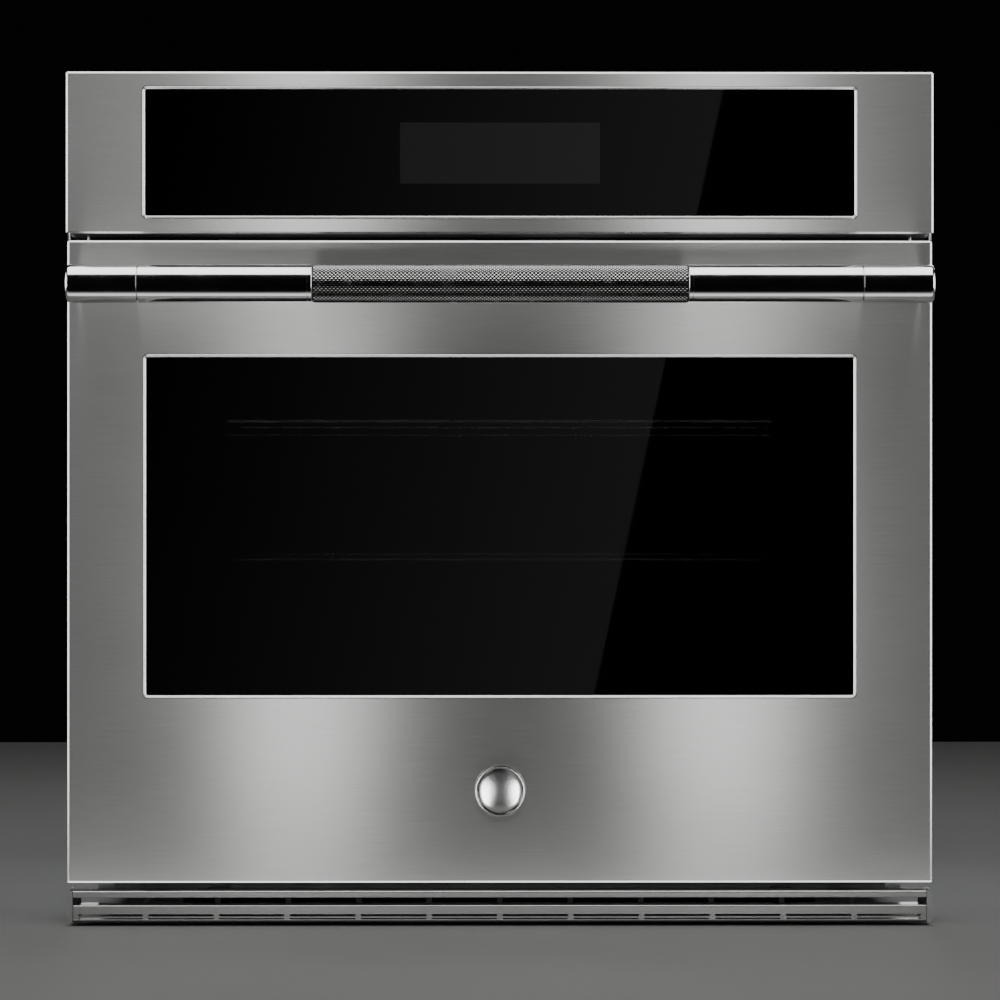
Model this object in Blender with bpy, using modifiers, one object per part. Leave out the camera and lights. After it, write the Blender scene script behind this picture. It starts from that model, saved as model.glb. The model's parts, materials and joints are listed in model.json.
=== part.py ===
"""Built-in single wall oven, 30 inch class, modelled as an assembly of separate pieces.

Metres, +Z up. X runs to the right, -Y points at the person in front of the oven.
The origin is the middle of the bounding box at the height of the foot rails' undersides.
"""
import math

import bmesh
import bpy
from mathutils import Matrix, Vector

# Overall size
WIDTH = 0.762
HEIGHT = 0.7499
DEPTH = 0.700

# General stock
GAP = 0.0003             # clearance between pieces that touch
SHEET = 0.0012           # folded sheet steel
GLASS = 0.004            # oven glass

# Planes from front to back
HANDLE_FRONT = -DEPTH / 2
HANDLE_R = 0.0166
DOOR_FRONT = HANDLE_FRONT + 0.066
DOOR_BACK = DOOR_FRONT + 0.040
FRAME_FRONT = DOOR_BACK + 0.007
FRAME_BACK = FRAME_FRONT + 0.0025
CHASSIS_FRONT = FRAME_BACK + GAP
CHASSIS_BACK = 0.330
BACK_FACE = DEPTH / 2

# Heights
PAN_LOW = 0.022
CHASSIS_TOP = 0.7200
FRAME_TOP = HEIGHT - 0.0020
DOOR_LOW = 0.0378
DOOR_HIGH = 0.6016
FASCIA_LOW = 0.6080
DUCT_Z = 0.592
FRAME_LOW = 0.0365

# Half widths
CHASSIS_HALF = 0.358
FRAME_HALF = 0.3645
FLANGE_IN = 0.3652       # side trims, the flanges that are screwed to the cabinet
FLANGE_OUT = 0.3795
FLANGE_SCREW_X = 0.3725
FLANGE_SCREW_R = 0.0025
FLANGE_SCREW_HEIGHTS = (0.090, 0.270, 0.450, 0.630)
DOOR_HALF = 0.3797

# Door hinge
PIVOT_Y = DOOR_FRONT + 0.014
PIVOT_Z = 0.052
HINGE_X = 0.300
HINGE_PIN_R = 0.004
ARM_THICK = 0.004
ARM_HALF_HIGH = 0.010

# Window and its stack of panes
WINDOW_HALF = 0.3133
WINDOW_LOW = 0.1998
WINDOW_HIGH = 0.5018
BEZEL = 0.0024
BEZEL_PROUD = 0.0006      # in front of the steel round it
PANE_BACK = 0.0004        # glass behind the steel's face
VIEW_HALF = 0.281
VIEW_LOW = 0.175
VIEW_HIGH = 0.520

# Control panel
PANEL_HALF = 0.3142
PANEL_LOW = 0.6209
PANEL_HIGH = 0.7372
DISPLAY_HALF = 0.088
DISPLAY_LOW = 0.6518
DISPLAY_HIGH = 0.7054

# Handle
HANDLE_Y = HANDLE_FRONT + HANDLE_R
HANDLE_Z = 0.5607
HANDLE_HALF = 0.3749
BRACKET_LENGTH = 0.062
STEM_NEAR = 0.3180        # standoff inside each end, nearest and farthest from the middle
STEM_FAR = 0.3695
STEM_HALF_HIGH = 0.0125
GRIP_HALF = 0.1623
NECK_R = 0.0125
HANDLE_BORE_R = 0.010
GROOVE_X = GRIP_HALF + 0.004
GROOVE_DEPTH = 0.0006

# Badge
BADGE_Z = 0.1186

# Oven cavity
CAVITY_HALF = 0.310
CAVITY_LOW = 0.115
CAVITY_HIGH = 0.545
CAVITY_BACK = 0.262
CAVITY_WALL = 0.0015
CAVITY_CORNER = 0.020

# Racks
RACK_HEIGHTS = {"lower": 0.318, "upper": 0.444}
RACK_HALF = 0.2975
RACK_FRONT = -0.190
RACK_BACK = 0.205
RACK_WIRE_PITCH = 0.0405
RACK_WIRES = 13
RACK_BRACE_Y = 0.008
RAIL_X = 0.301
RAIL_DROP = 0.0049       # rail centre below the rack's side wire
RAIL_PITCH = 0.063

# Heating rods, lamps and probe
ROD_R = 0.0035
ROD_PITCH = 0.066
ROD_RUNS = 8
ROD_REACH = ROD_PITCH * (ROD_RUNS - 1) / 2
ROD_HOLE_R = 0.0045
BROIL_Z = 0.522
BAKE_Z = 0.128
RING_R = 0.098
RING_Y = 0.242
RING_LEAD_X = 0.020
RING_LEAD_Z = 0.438
LAMP_X = 0.255
LAMP_Z = 0.490
PROBE_X = -0.225
PROBE_Z = 0.425

# Convection fan
FAN_Z = 0.330
FAN_R = 0.075
FAN_SHAFT_R = 0.004
BAFFLE_FRONT = 0.222
BAFFLE_HALF = 0.185
BAFFLE_LOW = 0.165
BAFFLE_HIGH = 0.495

# Cooling blower
BLOWER_X = -0.100
BLOWER_Y = 0.100
BLOWER_R = 0.085
BLOWER_LOW = DUCT_Z + SHEET + GAP
BLOWER_HIGH = BLOWER_LOW + 0.060

# Door latch and door switch
LATCH_Y = -0.205
LATCH_Z = 0.582
SWITCH_X = 0.200

# Relay board
BOARD_LOW = 0.6000
BOARD_HIGH = 0.6016

# Terminal box on the back
BOX_X = -0.250
BOX_HALF = 0.050
BOX_LOW = 0.600
BOX_HIGH = 0.680

# Vent trim under the door
TRIM_FRONT = DOOR_FRONT + 0.001
TRIM_BACK = TRIM_FRONT + 0.021
TRIM_LOW = 0.0022
TRIM_HIGH = 0.0306
TRIM_RAIL_LOW = 0.0244    # underside of the upper rail
TRIM_STEP = 0.0178        # top of the lower rail
TRIM_SILL = 0.0040        # where the front starts to lean back
TRIM_SLOTS = ((0.0053, 0.0065), (0.0081, 0.0099))
TRIM_INTAKE = (0.0186, 0.0236)
TRIM_ARM_X = 0.250
CAP_HIGH = 0.0312
TRIM_HALF = 0.3750
TRIM_GROUPS = 12
TRIM_PITCH = 0.0623
TRIM_RIB = 0.005
CAP_WIDTH = 0.0045

FINISHES = {
    "brushed_steel": ((0.55, 0.55, 0.54), 0.32, 1.0),
    "polished_steel": ((0.78, 0.78, 0.77), 0.08, 1.0),
    "galvanised": ((0.52, 0.54, 0.55), 0.45, 1.0),
    "enamel": ((0.012, 0.013, 0.015), 0.25, 0.0),
    "dark_paint": ((0.02, 0.02, 0.02), 0.5, 0.0),
    "black_glass": ((0.004, 0.004, 0.004), 0.03, 0.0),
    "clear_glass": ((0.6, 0.63, 0.62), 0.03, 0.0),
    "chrome_wire": ((0.7, 0.7, 0.7), 0.15, 1.0),
    "element": ((0.06, 0.055, 0.05), 0.45, 0.6),
    "fibre": ((0.75, 0.72, 0.62), 0.95, 0.0),
    "gasket": ((0.16, 0.15, 0.14), 0.9, 0.0),
    "plastic": ((0.03, 0.03, 0.03), 0.5, 0.0),
    "board": ((0.02, 0.12, 0.05), 0.5, 0.0),
}

PART = bpy.data.collections.new("wall_oven")
CUTTERS = bpy.data.collections.new("wall_oven_cutters")


def clear_scene():
    for obj in list(bpy.data.objects):
        bpy.data.objects.remove(obj, do_unlink=True)
    bpy.context.scene.collection.children.link(PART)
    bpy.context.scene.collection.children.link(CUTTERS)


# Basic shapes ---------------------------------------------------------------------------


def new_object(name, bm, location, helper=False):
    mesh = bpy.data.meshes.new(name)
    bm.to_mesh(mesh)
    bm.free()
    obj = bpy.data.objects.new(name, mesh)
    obj.location = location
    if helper:
        obj.display_type = "WIRE"
        obj.hide_render = True
        CUTTERS.objects.link(obj)
    else:
        PART.objects.link(obj)
    return obj


def paint(obj, finish):
    color, roughness, metallic = FINISHES[finish]
    material = bpy.data.materials.new(obj.name + "_" + finish)
    material.use_nodes = True
    shader = material.node_tree.nodes["Principled BSDF"]
    shader.inputs["Base Color"].default_value = (*color, 1.0)
    shader.inputs["Roughness"].default_value = roughness
    shader.inputs["Metallic"].default_value = metallic
    obj.data.materials.clear()
    obj.data.materials.append(material)
    return obj


def middle(low, high):
    return (Vector(low) + Vector(high)) / 2


def box_mesh(low, high, corner=0.0, axis="Y", segments=3):
    """A box about its own middle, with the four edges along one axis rounded."""
    size = Vector(high) - Vector(low)
    bm = bmesh.new()
    bmesh.ops.create_cube(bm, size=1.0)
    bmesh.ops.scale(bm, vec=size, verts=bm.verts)
    if corner:
        way = Vector([float(axis == name) for name in "XYZ"])
        edges = []
        for edge in bm.edges:
            run = (edge.verts[1].co - edge.verts[0].co).normalized()
            if abs(run.dot(way)) > 0.99:
                edges.append(edge)
        bmesh.ops.bevel(bm, geom=edges, offset=corner, segments=segments, profile=0.5, affect="EDGES")
    return bm


def add_box(name, low, high, corner=0.0, axis="Y", segments=3, helper=False):
    return new_object(name, box_mesh(low, high, corner, axis, segments), middle(low, high), helper)


def add_boxes(name, spans):
    """One helper mesh that holds several separate boxes."""
    whole = bmesh.new()
    for low, high in spans:
        part = bmesh.ops.create_cube(whole, size=1.0)["verts"]
        bmesh.ops.scale(whole, vec=Vector(high) - Vector(low), verts=part)
        bmesh.ops.translate(whole, vec=middle(low, high), verts=part)
    return new_object(name, whole, (0, 0, 0), helper=True)


def add_tray(name, low, high, wall, open_side, corner=0.0, outward=False):
    """A box with one side left off, thickened into a sheet shell."""
    bm = box_mesh(low, high, corner, "Y", 4)
    way = Vector(open_side)
    lids = [face for face in bm.faces if face.normal.dot(way) > 0.9]
    bmesh.ops.delete(bm, geom=lids, context="FACES")
    obj = new_object(name, bm, middle(low, high))
    solid = obj.modifiers.new("Wall", "SOLIDIFY")
    solid.thickness = wall
    solid.offset = 1.0 if outward else -1.0
    solid.use_even_offset = True
    return obj


def axis_turn(axis):
    """Rotation that carries +Z onto the named axis."""
    if axis == "X":
        return Matrix.Rotation(math.pi / 2, 4, "Y")
    if axis == "Y":
        return Matrix.Rotation(-math.pi / 2, 4, "X")
    return Matrix.Identity(4)


def add_rod(name, centre, axis, radius, length, sides=16, helper=False):
    bm = bmesh.new()
    bmesh.ops.create_cone(bm, cap_ends=True, segments=sides, radius1=radius, radius2=radius, depth=length)
    bmesh.ops.rotate(bm, verts=bm.verts, matrix=axis_turn(axis).to_3x3())
    obj = new_object(name, bm, centre, helper)
    obj.data.shade_smooth()
    obj.data.set_sharp_from_angle(angle=math.radians(40))
    return obj


def add_turned(name, profile, location, axis, steps=16, closed=False):
    """A profile of (radius, height) points, top to bottom, spun about its own height axis."""
    mesh = bpy.data.meshes.new(name)
    points = [(radius, 0.0, height) for radius, height in profile]
    edges = [(i, i + 1) for i in range(len(points) - 1)]
    if closed:
        edges.append((len(points) - 1, 0))
    mesh.from_pydata(points, edges, [])
    obj = bpy.data.objects.new(name, mesh)
    obj.location = location
    obj.rotation_euler = axis_turn(axis).to_euler()
    PART.objects.link(obj)
    screw = obj.modifiers.new("Turn", "SCREW")
    screw.steps = steps
    screw.render_steps = steps
    screw.use_merge_vertices = True
    screw.merge_threshold = 0.00005
    screw.use_smooth_shade = True
    return obj


def wire_mesh(name, runs, radius, resolution=2, cyclic=False, helper=False):
    """Round wires along lists of points, capped and welded into one mesh."""
    curve = bpy.data.curves.new(name + "_path", "CURVE")
    curve.dimensions = "3D"
    curve.bevel_depth = radius
    curve.bevel_resolution = resolution
    curve.use_fill_caps = True
    for run in runs:
        spline = curve.splines.new("POLY")
        spline.points.add(len(run) - 1)
        spline.use_cyclic_u = cyclic
        for point, place in zip(spline.points, run):
            point.co = (*place, 1.0)
    path = bpy.data.objects.new(name + "_path", curve)
    CUTTERS.objects.link(path)
    bpy.context.view_layer.update()
    graph = bpy.context.evaluated_depsgraph_get()
    mesh = bpy.data.meshes.new_from_object(path.evaluated_get(graph))
    bm = bmesh.new()
    bm.from_mesh(mesh)
    bmesh.ops.remove_doubles(bm, verts=bm.verts, dist=0.00001)
    bmesh.ops.recalc_face_normals(bm, faces=bm.faces)
    bpy.data.objects.remove(path, do_unlink=True)
    bpy.data.meshes.remove(mesh)
    return new_object(name, bm, (0, 0, 0), helper)


def boolean(target, operation, helper, crossing=False):
    modifier = target.modifiers.new(operation.title(), "BOOLEAN")
    modifier.operation = operation
    modifier.solver = "EXACT"
    modifier.use_self = crossing
    modifier.object = helper
    return target


def cut(target, helper):
    return boolean(target, "DIFFERENCE", helper)


def cut_box(target, low, high, corner=0.0, axis="Y"):
    return cut(target, add_box(target.name + "_cut", low, high, corner, axis, helper=True))


def cut_rod(target, centre, axis, radius, length, sides=16):
    return cut(target, add_rod(target.name + "_bore", centre, axis, radius, length, sides, helper=True))


def join(target, helper, crossing=False):
    return boolean(target, "UNION", helper, crossing)


def join_box(target, low, high):
    return join(target, add_box(target.name + "_add", low, high, helper=True))


def join_rod(target, centre, axis, radius, length, sides=16):
    return join(target, add_rod(target.name + "_add", centre, axis, radius, length, sides, helper=True))


def add_pivot(name, place, children):
    """An empty on a joint's axis that carries the pieces that move about it."""
    empty = bpy.data.objects.new(name, None)
    empty.empty_display_size = 0.02
    empty.location = place
    PART.objects.link(empty)
    for child in children:
        child.parent = empty
        child.location = Vector(child.location) - Vector(place)
    return empty


def corner_path(half, low, high, y, radius, steps=4):
    """A rectangle with round corners in an XZ plane."""
    points = []
    turns = ((half, high, 0), (-half, high, 1), (-half, low, 2), (half, low, 3))
    for x, z, quarter in turns:
        centre_x = x - math.copysign(radius, x)
        centre_z = z - radius if z == high else z + radius
        for step in range(steps + 1):
            angle = math.pi / 2 * (quarter + step / steps)
            points.append((centre_x + radius * math.cos(angle), y, centre_z + radius * math.sin(angle)))
    return points


def serpentine(z, front, back, ends, pitch, runs, steps=4):
    """A heating rod's path: parallel runs joined by half-circle bends, with its ends through the back."""
    first = -pitch * (runs - 1) / 2
    bend = pitch / 2
    points = [(first, ends, z)]
    for run in range(runs - 1):
        x = first + pitch * run
        forward = run % 2 == 0
        edge = front + bend if forward else back - bend
        side = -1 if forward else 1
        for step in range(steps + 1):
            angle = math.pi * step / steps
            points.append((x + bend - bend * math.cos(angle), edge + side * bend * math.sin(angle), z))
    points.append((-first, ends, z))
    return points


# Casing ---------------------------------------------------------------------------------


def build_casing():
    inside = CHASSIS_HALF - SHEET - GAP
    near = CHASSIS_FRONT + SHEET + GAP
    far = CHASSIS_BACK - SHEET - GAP
    flange = 0.012
    base = add_tray("base_pan", (-inside, near, PAN_LOW), (inside, far, PAN_LOW + flange), SHEET, (0, 0, 1))
    paint(base, "galvanised")
    top = add_tray("top_panel", (-inside, near, CHASSIS_TOP - flange), (inside, far, CHASSIS_TOP), SHEET,
                   (0, 0, -1))
    slots = []
    for row in range(8):
        y = 0.16 + 0.015 * row
        slots.append(((0.06, y, CHASSIS_TOP - 0.004), (0.24, y + 0.005, CHASSIS_TOP + 0.004)))
    cut(top, add_boxes("top_panel_slots", slots))
    paint(top, "galvanised")
    for side, name in ((-1, "left"), (1, "right")):
        outer = side * CHASSIS_HALF
        inner = side * (CHASSIS_HALF - 0.014)
        low = (min(outer, inner), CHASSIS_FRONT, PAN_LOW)
        high = (max(outer, inner), CHASSIS_BACK, CHASSIS_TOP)
        panel = box_mesh(low, high)
        keep = [face for face in panel.faces if face.normal.x * side > 0.9 or abs(face.normal.y) > 0.9]
        drop = [face for face in panel.faces if face not in keep]
        bmesh.ops.delete(panel, geom=drop, context="FACES")
        obj = new_object("side_panel_" + name, panel, middle(low, high))
        solid = obj.modifiers.new("Wall", "SOLIDIFY")
        solid.thickness = SHEET
        solid.offset = -1.0
        solid.use_even_offset = True
        paint(obj, "galvanised")
    build_back_panel()
    half = 0.015
    for side, name in ((-1, "left"), (1, "right")):
        x = side * HINGE_X
        rail = add_tray("foot_rail_" + name, (x - half, -0.200, 0.0), (x + half, 0.300, PAN_LOW - GAP),
                        0.002, (0, 0, 1))
        paint(rail, "galvanised")


def build_back_panel():
    panel = add_box("back_panel", (-CHASSIS_HALF, CHASSIS_BACK + GAP, PAN_LOW),
                    (CHASSIS_HALF, CHASSIS_BACK + GAP + SHEET, CHASSIS_TOP))
    slots = []
    for row in range(10):
        z = 0.625 + 0.008 * row
        slots.append(((0.02, CHASSIS_BACK - 0.01, z), (0.24, CHASSIS_BACK + 0.01, z + 0.003)))
    cut(panel, add_boxes("back_panel_slots", slots))
    cut_rod(panel, (BOX_X, CHASSIS_BACK, (BOX_LOW + BOX_HIGH) / 2), "Y", 0.014, 0.02)
    paint(panel, "galvanised")
    near = CHASSIS_BACK + 2 * GAP + SHEET
    box = add_tray("terminal_box", (BOX_X - BOX_HALF, near, BOX_LOW), (BOX_X + BOX_HALF, BACK_FACE, BOX_HIGH),
                   SHEET, (0, -1, 0))
    cut_rod(box, (BOX_X, (near + BACK_FACE) / 2, BOX_LOW), "Z", 0.0072, 0.01)
    paint(box, "galvanised")


def build_front_frame():
    frame = add_box("front_frame", (-FRAME_HALF, FRAME_FRONT, FRAME_LOW), (FRAME_HALF, FRAME_BACK, FRAME_TOP))
    near = FRAME_FRONT - 0.005
    far = FRAME_BACK + 0.005
    cut_box(frame, (-CAVITY_HALF, near, CAVITY_LOW), (CAVITY_HALF, far, CAVITY_HIGH), CAVITY_CORNER)
    openings = [
        ((-0.250, near, 0.5965), (0.250, far, 0.6065)),      # cooling air outlet
        ((-0.200, near, 0.6300), (0.200, far, 0.7000)),      # wiring of the control panel
        ((-0.014, near, LATCH_Z - 0.006), (0.030, far, LATCH_Z + 0.006)),
    ]
    for side in (-1, 1):
        x = side * HINGE_X
        openings.append(((x - 0.0045, near, PIVOT_Z - 0.012), (x + 0.0045, far, PIVOT_Z + 0.012)))
    cut(frame, add_boxes("front_frame_slots", openings))
    cut_rod(frame, (SWITCH_X, FRAME_FRONT, LATCH_Z), "Y", 0.0045, 0.02)
    paint(frame, "enamel")
    for side, name in ((-1, "left"), (1, "right")):
        low_x = min(side * FLANGE_IN, side * FLANGE_OUT)
        high_x = max(side * FLANGE_IN, side * FLANGE_OUT)
        trim = add_box("side_trim_" + name, (low_x, FRAME_FRONT, FRAME_LOW), (high_x, FRAME_BACK, FRAME_TOP))
        for z in FLANGE_SCREW_HEIGHTS:
            cut_rod(trim, (side * FLANGE_SCREW_X, FRAME_FRONT, z), "Y", FLANGE_SCREW_R, 0.02, 8)
        paint(trim, "dark_paint")
    path = corner_path(0.330, 0.096, 0.564, (DOOR_BACK + FRAME_FRONT) / 2, 0.028)
    gasket = wire_mesh("door_gasket", [path], 0.0030, 1, cyclic=True)
    paint(gasket, "gasket")


# Oven cavity and what is in it ----------------------------------------------------------


def build_cavity():
    near = CHASSIS_FRONT
    cavity = add_tray("oven_cavity", (-CAVITY_HALF, near, CAVITY_LOW), (CAVITY_HALF, CAVITY_BACK, CAVITY_HIGH),
                      CAVITY_WALL, (0, -1, 0), CAVITY_CORNER, outward=True)
    cut_rod(cavity, (0, CAVITY_BACK, FAN_Z), "Y", 0.008, 0.01)
    for x, z in element_leads():
        cut_rod(cavity, (x, CAVITY_BACK, z), "Y", ROD_HOLE_R, 0.01, 12)
    for side in (-1, 1):
        cut_rod(cavity, (side * LAMP_X, CAVITY_BACK, LAMP_Z), "Y", 0.0265, 0.01, 24)
    cut_rod(cavity, (PROBE_X, CAVITY_BACK, PROBE_Z), "Y", 0.0035, 0.01, 12)
    paint(cavity, "enamel")
    skin = CAVITY_WALL + 0.0005
    near += 0.0005
    wool = add_box("cavity_insulation", (-0.3425, near, 0.089), (0.3425, 0.290, 0.5715))
    cut_box(wool, (-CAVITY_HALF - skin, near - 0.01, CAVITY_LOW - skin),
            (CAVITY_HALF + skin, CAVITY_BACK + skin, CAVITY_HIGH + skin), CAVITY_CORNER)
    cut_rod(wool, (0, 0.28, FAN_Z), "Y", 0.046, 0.06, 24)
    for side in (-1, 1):
        cut_rod(wool, (side * LAMP_X, 0.28, LAMP_Z), "Y", 0.029, 0.06, 24)
    paint(wool, "fibre")


def element_leads():
    """Where the heating rods pass through the cavity's back wall."""
    leads = []
    for side in (-1, 1):
        leads += [(side * ROD_REACH, BROIL_Z), (side * ROD_REACH, BAKE_Z), (side * RING_LEAD_X, RING_LEAD_Z)]
    return leads


def build_elements():
    lead = CAVITY_BACK + CAVITY_WALL + 0.0002
    broil = serpentine(BROIL_Z, -0.170, 0.200, lead, ROD_PITCH, ROD_RUNS)
    paint(wire_mesh("broil_element", [broil], ROD_R, 1), "element")
    bake = serpentine(BAKE_Z, -0.190, 0.210, lead, ROD_PITCH, ROD_RUNS)
    paint(wire_mesh("bake_element", [bake], ROD_R, 1), "element")
    gap_angle = math.asin(RING_LEAD_X / RING_R)
    knee = RING_Y + 0.004
    ring = [(-RING_LEAD_X, lead, RING_LEAD_Z), (-RING_LEAD_X, knee, RING_LEAD_Z)]
    for step in range(25):
        angle = math.pi / 2 + gap_angle + (math.tau - 2 * gap_angle) * step / 24
        ring.append((RING_R * math.cos(angle), RING_Y, FAN_Z + RING_R * math.sin(angle)))
    ring += [(RING_LEAD_X, knee, RING_LEAD_Z), (RING_LEAD_X, lead, RING_LEAD_Z)]
    paint(wire_mesh("ring_element", [ring], ROD_R, 1), "element")
    for side, name in ((-1, "left"), (1, "right")):
        profile = [(0.0, 0.022), (0.010, 0.021), (0.018, 0.017), (0.0225, 0.010), (0.0235, 0.0075),
                   (0.034, 0.0075), (0.034, 0.0045), (0.026, 0.0045), (0.026, -0.020), (0.0, -0.020)]
        lamp = add_turned("oven_lamp_" + name, profile, (side * LAMP_X, CAVITY_BACK - 0.0040, LAMP_Z), "Y")
        lamp.rotation_euler = Matrix.Rotation(math.pi / 2, 4, "X").to_euler()
        paint(lamp, "clear_glass")
    profile = [(0.0, 0.057), (0.002, 0.0565), (0.003, 0.055), (0.003, 0.0025), (0.010, 0.0025),
               (0.010, 0.0005), (0.0032, 0.0005), (0.0032, -0.0012), (0.0, -0.0012)]
    probe = add_turned("temperature_sensor", profile, (PROBE_X, CAVITY_BACK, PROBE_Z), "Y", 12)
    probe.rotation_euler = Matrix.Rotation(math.pi / 2, 4, "X").to_euler()
    paint(probe, "polished_steel")


def build_fan():
    baffle = add_tray("fan_baffle", (-BAFFLE_HALF, BAFFLE_FRONT, BAFFLE_LOW),
                      (BAFFLE_HALF, CAVITY_BACK - GAP, BAFFLE_HIGH), SHEET, (0, 1, 0), 0.012)
    slots = []
    reach = 0.072
    pitch = 0.012
    for row in range(-5, 6):
        z = FAN_Z + pitch * row
        half = math.sqrt(reach ** 2 - (pitch * row) ** 2)
        slots.append(((-half, BAFFLE_FRONT - 0.007, z - 0.0025), (half, BAFFLE_FRONT + 0.008, z + 0.0025)))
    outlet = BAFFLE_HALF + 0.005
    for row in range(9):
        z = BAFFLE_LOW + 0.025 + 0.033 * row
        slots.append(((-outlet, 0.235, z), (outlet, 0.250, z + 0.016)))
    cut(baffle, add_boxes("fan_baffle_slots", slots))
    paint(baffle, "enamel")
    body = [(0.0, 0.318), (0.012, 0.318), (0.012, 0.312), (0.040, 0.312), (0.042, 0.309), (0.042, 0.272),
            (0.044, 0.272), (0.044, 0.2645), (FAN_SHAFT_R, 0.2645), (FAN_SHAFT_R, 0.236), (0.0, 0.236)]
    motor = add_turned("fan_motor", body, (0, 0, FAN_Z), "Y")
    paint(motor, "galvanised")
    bore = FAN_SHAFT_R + GAP
    hub = [(FAN_R, 0.254), (FAN_R, 0.253), (0.010, 0.253), (0.010, 0.240), (bore, 0.240), (bore, 0.254)]
    fan = add_turned("convection_fan", hub, (0, 0, FAN_Z), "Y", 24, closed=True)
    blades = bmesh.new()
    count = 8
    for index in range(count):
        part = bmesh.ops.create_cube(blades, size=1.0)["verts"]
        bmesh.ops.scale(blades, vec=(0.030, 0.0215, 0.0012), verts=part)
        bmesh.ops.translate(blades, vec=(0.058, 0.2425, 0.0), verts=part)
        bmesh.ops.rotate(blades, verts=part, matrix=Matrix.Rotation(math.tau * index / count, 3, "Y"))
    join(fan, new_object("convection_fan_blades", blades, (0, 0, FAN_Z), helper=True))
    paint(fan, "galvanised")
    add_pivot("fan_axis", (0, 0.2425, FAN_Z), [fan])


def build_rack_guides():
    for side, name in ((-1, "left"), (1, "right")):
        post_x = side * (RAIL_X + 0.004)
        posts = [[(post_x, y, 0.150), (post_x, y, 0.500)] for y in (-0.170, 0.010, 0.190)]
        others = posts[1:]
        top_rail = RACK_HEIGHTS["upper"] - RAIL_DROP
        for level in range(5):
            z = top_rail - RAIL_PITCH * level
            others.append([(side * RAIL_X, -0.205, z), (side * RAIL_X, 0.212, z)])
        guide = wire_mesh("rack_guide_" + name, posts[:1], 0.0025, 1)
        helper = wire_mesh("rack_guide_wires", others, 0.0025, 1, helper=True)
        join(guide, helper, crossing=True)
        paint(guide, "chrome_wire")


def build_racks():
    for name, z in RACK_HEIGHTS.items():
        edge = corner_path_flat(RACK_HALF, RACK_FRONT, RACK_BACK, z, 0.012)
        rack = wire_mesh(name + "_rack", [edge], 0.003, 1, cyclic=True)
        wires = []
        for index in range(RACK_WIRES):
            x = RACK_WIRE_PITCH * (index - (RACK_WIRES - 1) / 2)
            wires.append([(x, RACK_FRONT, z + 0.0005), (x, RACK_BACK, z + 0.0005)])
        deck = wire_mesh(name + "_rack_deck", wires, 0.0017, 0, helper=True)
        braces = [[(-RACK_HALF, RACK_BRACE_Y, z - 0.0008), (RACK_HALF, RACK_BRACE_Y, z - 0.0008)]]
        brace = wire_mesh(name + "_rack_braces", braces, 0.0024, 0, helper=True)
        join(rack, deck, crossing=True)
        join(rack, brace, crossing=True)
        paint(rack, "chrome_wire")
        add_pivot(name + "_rack_slide", (0, RACK_FRONT, z), [rack])


def corner_path_flat(half, front, back, z, radius, steps=3):
    """A rectangle with round corners in a level plane."""
    return [(x, y, z) for x, _, y in corner_path(half, front, back, 0.0, radius, steps)]


# Electronics, cooling and locking --------------------------------------------------------


def build_top_works():
    inside = CHASSIS_HALF - SHEET - GAP
    plate = add_box("duct_plate", (-inside, CHASSIS_FRONT + SHEET + GAP, DUCT_Z),
                    (inside, CHASSIS_BACK - SHEET - GAP, DUCT_Z + SHEET))
    cut_rod(plate, (0, LATCH_Y, DUCT_Z), "Z", 0.006, 0.01)
    paint(plate, "galvanised")
    build_blower()
    board = add_box("relay_board", (0.080, -0.100, BOARD_LOW), (0.300, 0.080, BOARD_HIGH))
    foot = BOARD_LOW + 0.0010
    parts = []
    for x, y in ((0.090, -0.090), (0.290, -0.090), (0.090, 0.070), (0.290, 0.070)):
        parts.append(((x - 0.003, y - 0.003, DUCT_Z + SHEET + GAP), (x + 0.003, y + 0.003, BOARD_LOW + 0.0008)))
    for index in range(5):
        x = 0.110 + 0.036 * index
        parts.append(((x - 0.010, 0.030, foot), (x + 0.010, 0.060, BOARD_HIGH + 0.0164)))      # relays
    parts.append(((0.110, -0.080, foot), (0.165, -0.035, BOARD_HIGH + 0.0344)))                # transformer
    parts.append(((0.190, -0.085, foot), (0.270, -0.070, BOARD_HIGH + 0.0114)))                # connector
    join(board, add_boxes("relay_board_parts", parts))
    paint(board, "board")
    build_latch()


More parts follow.
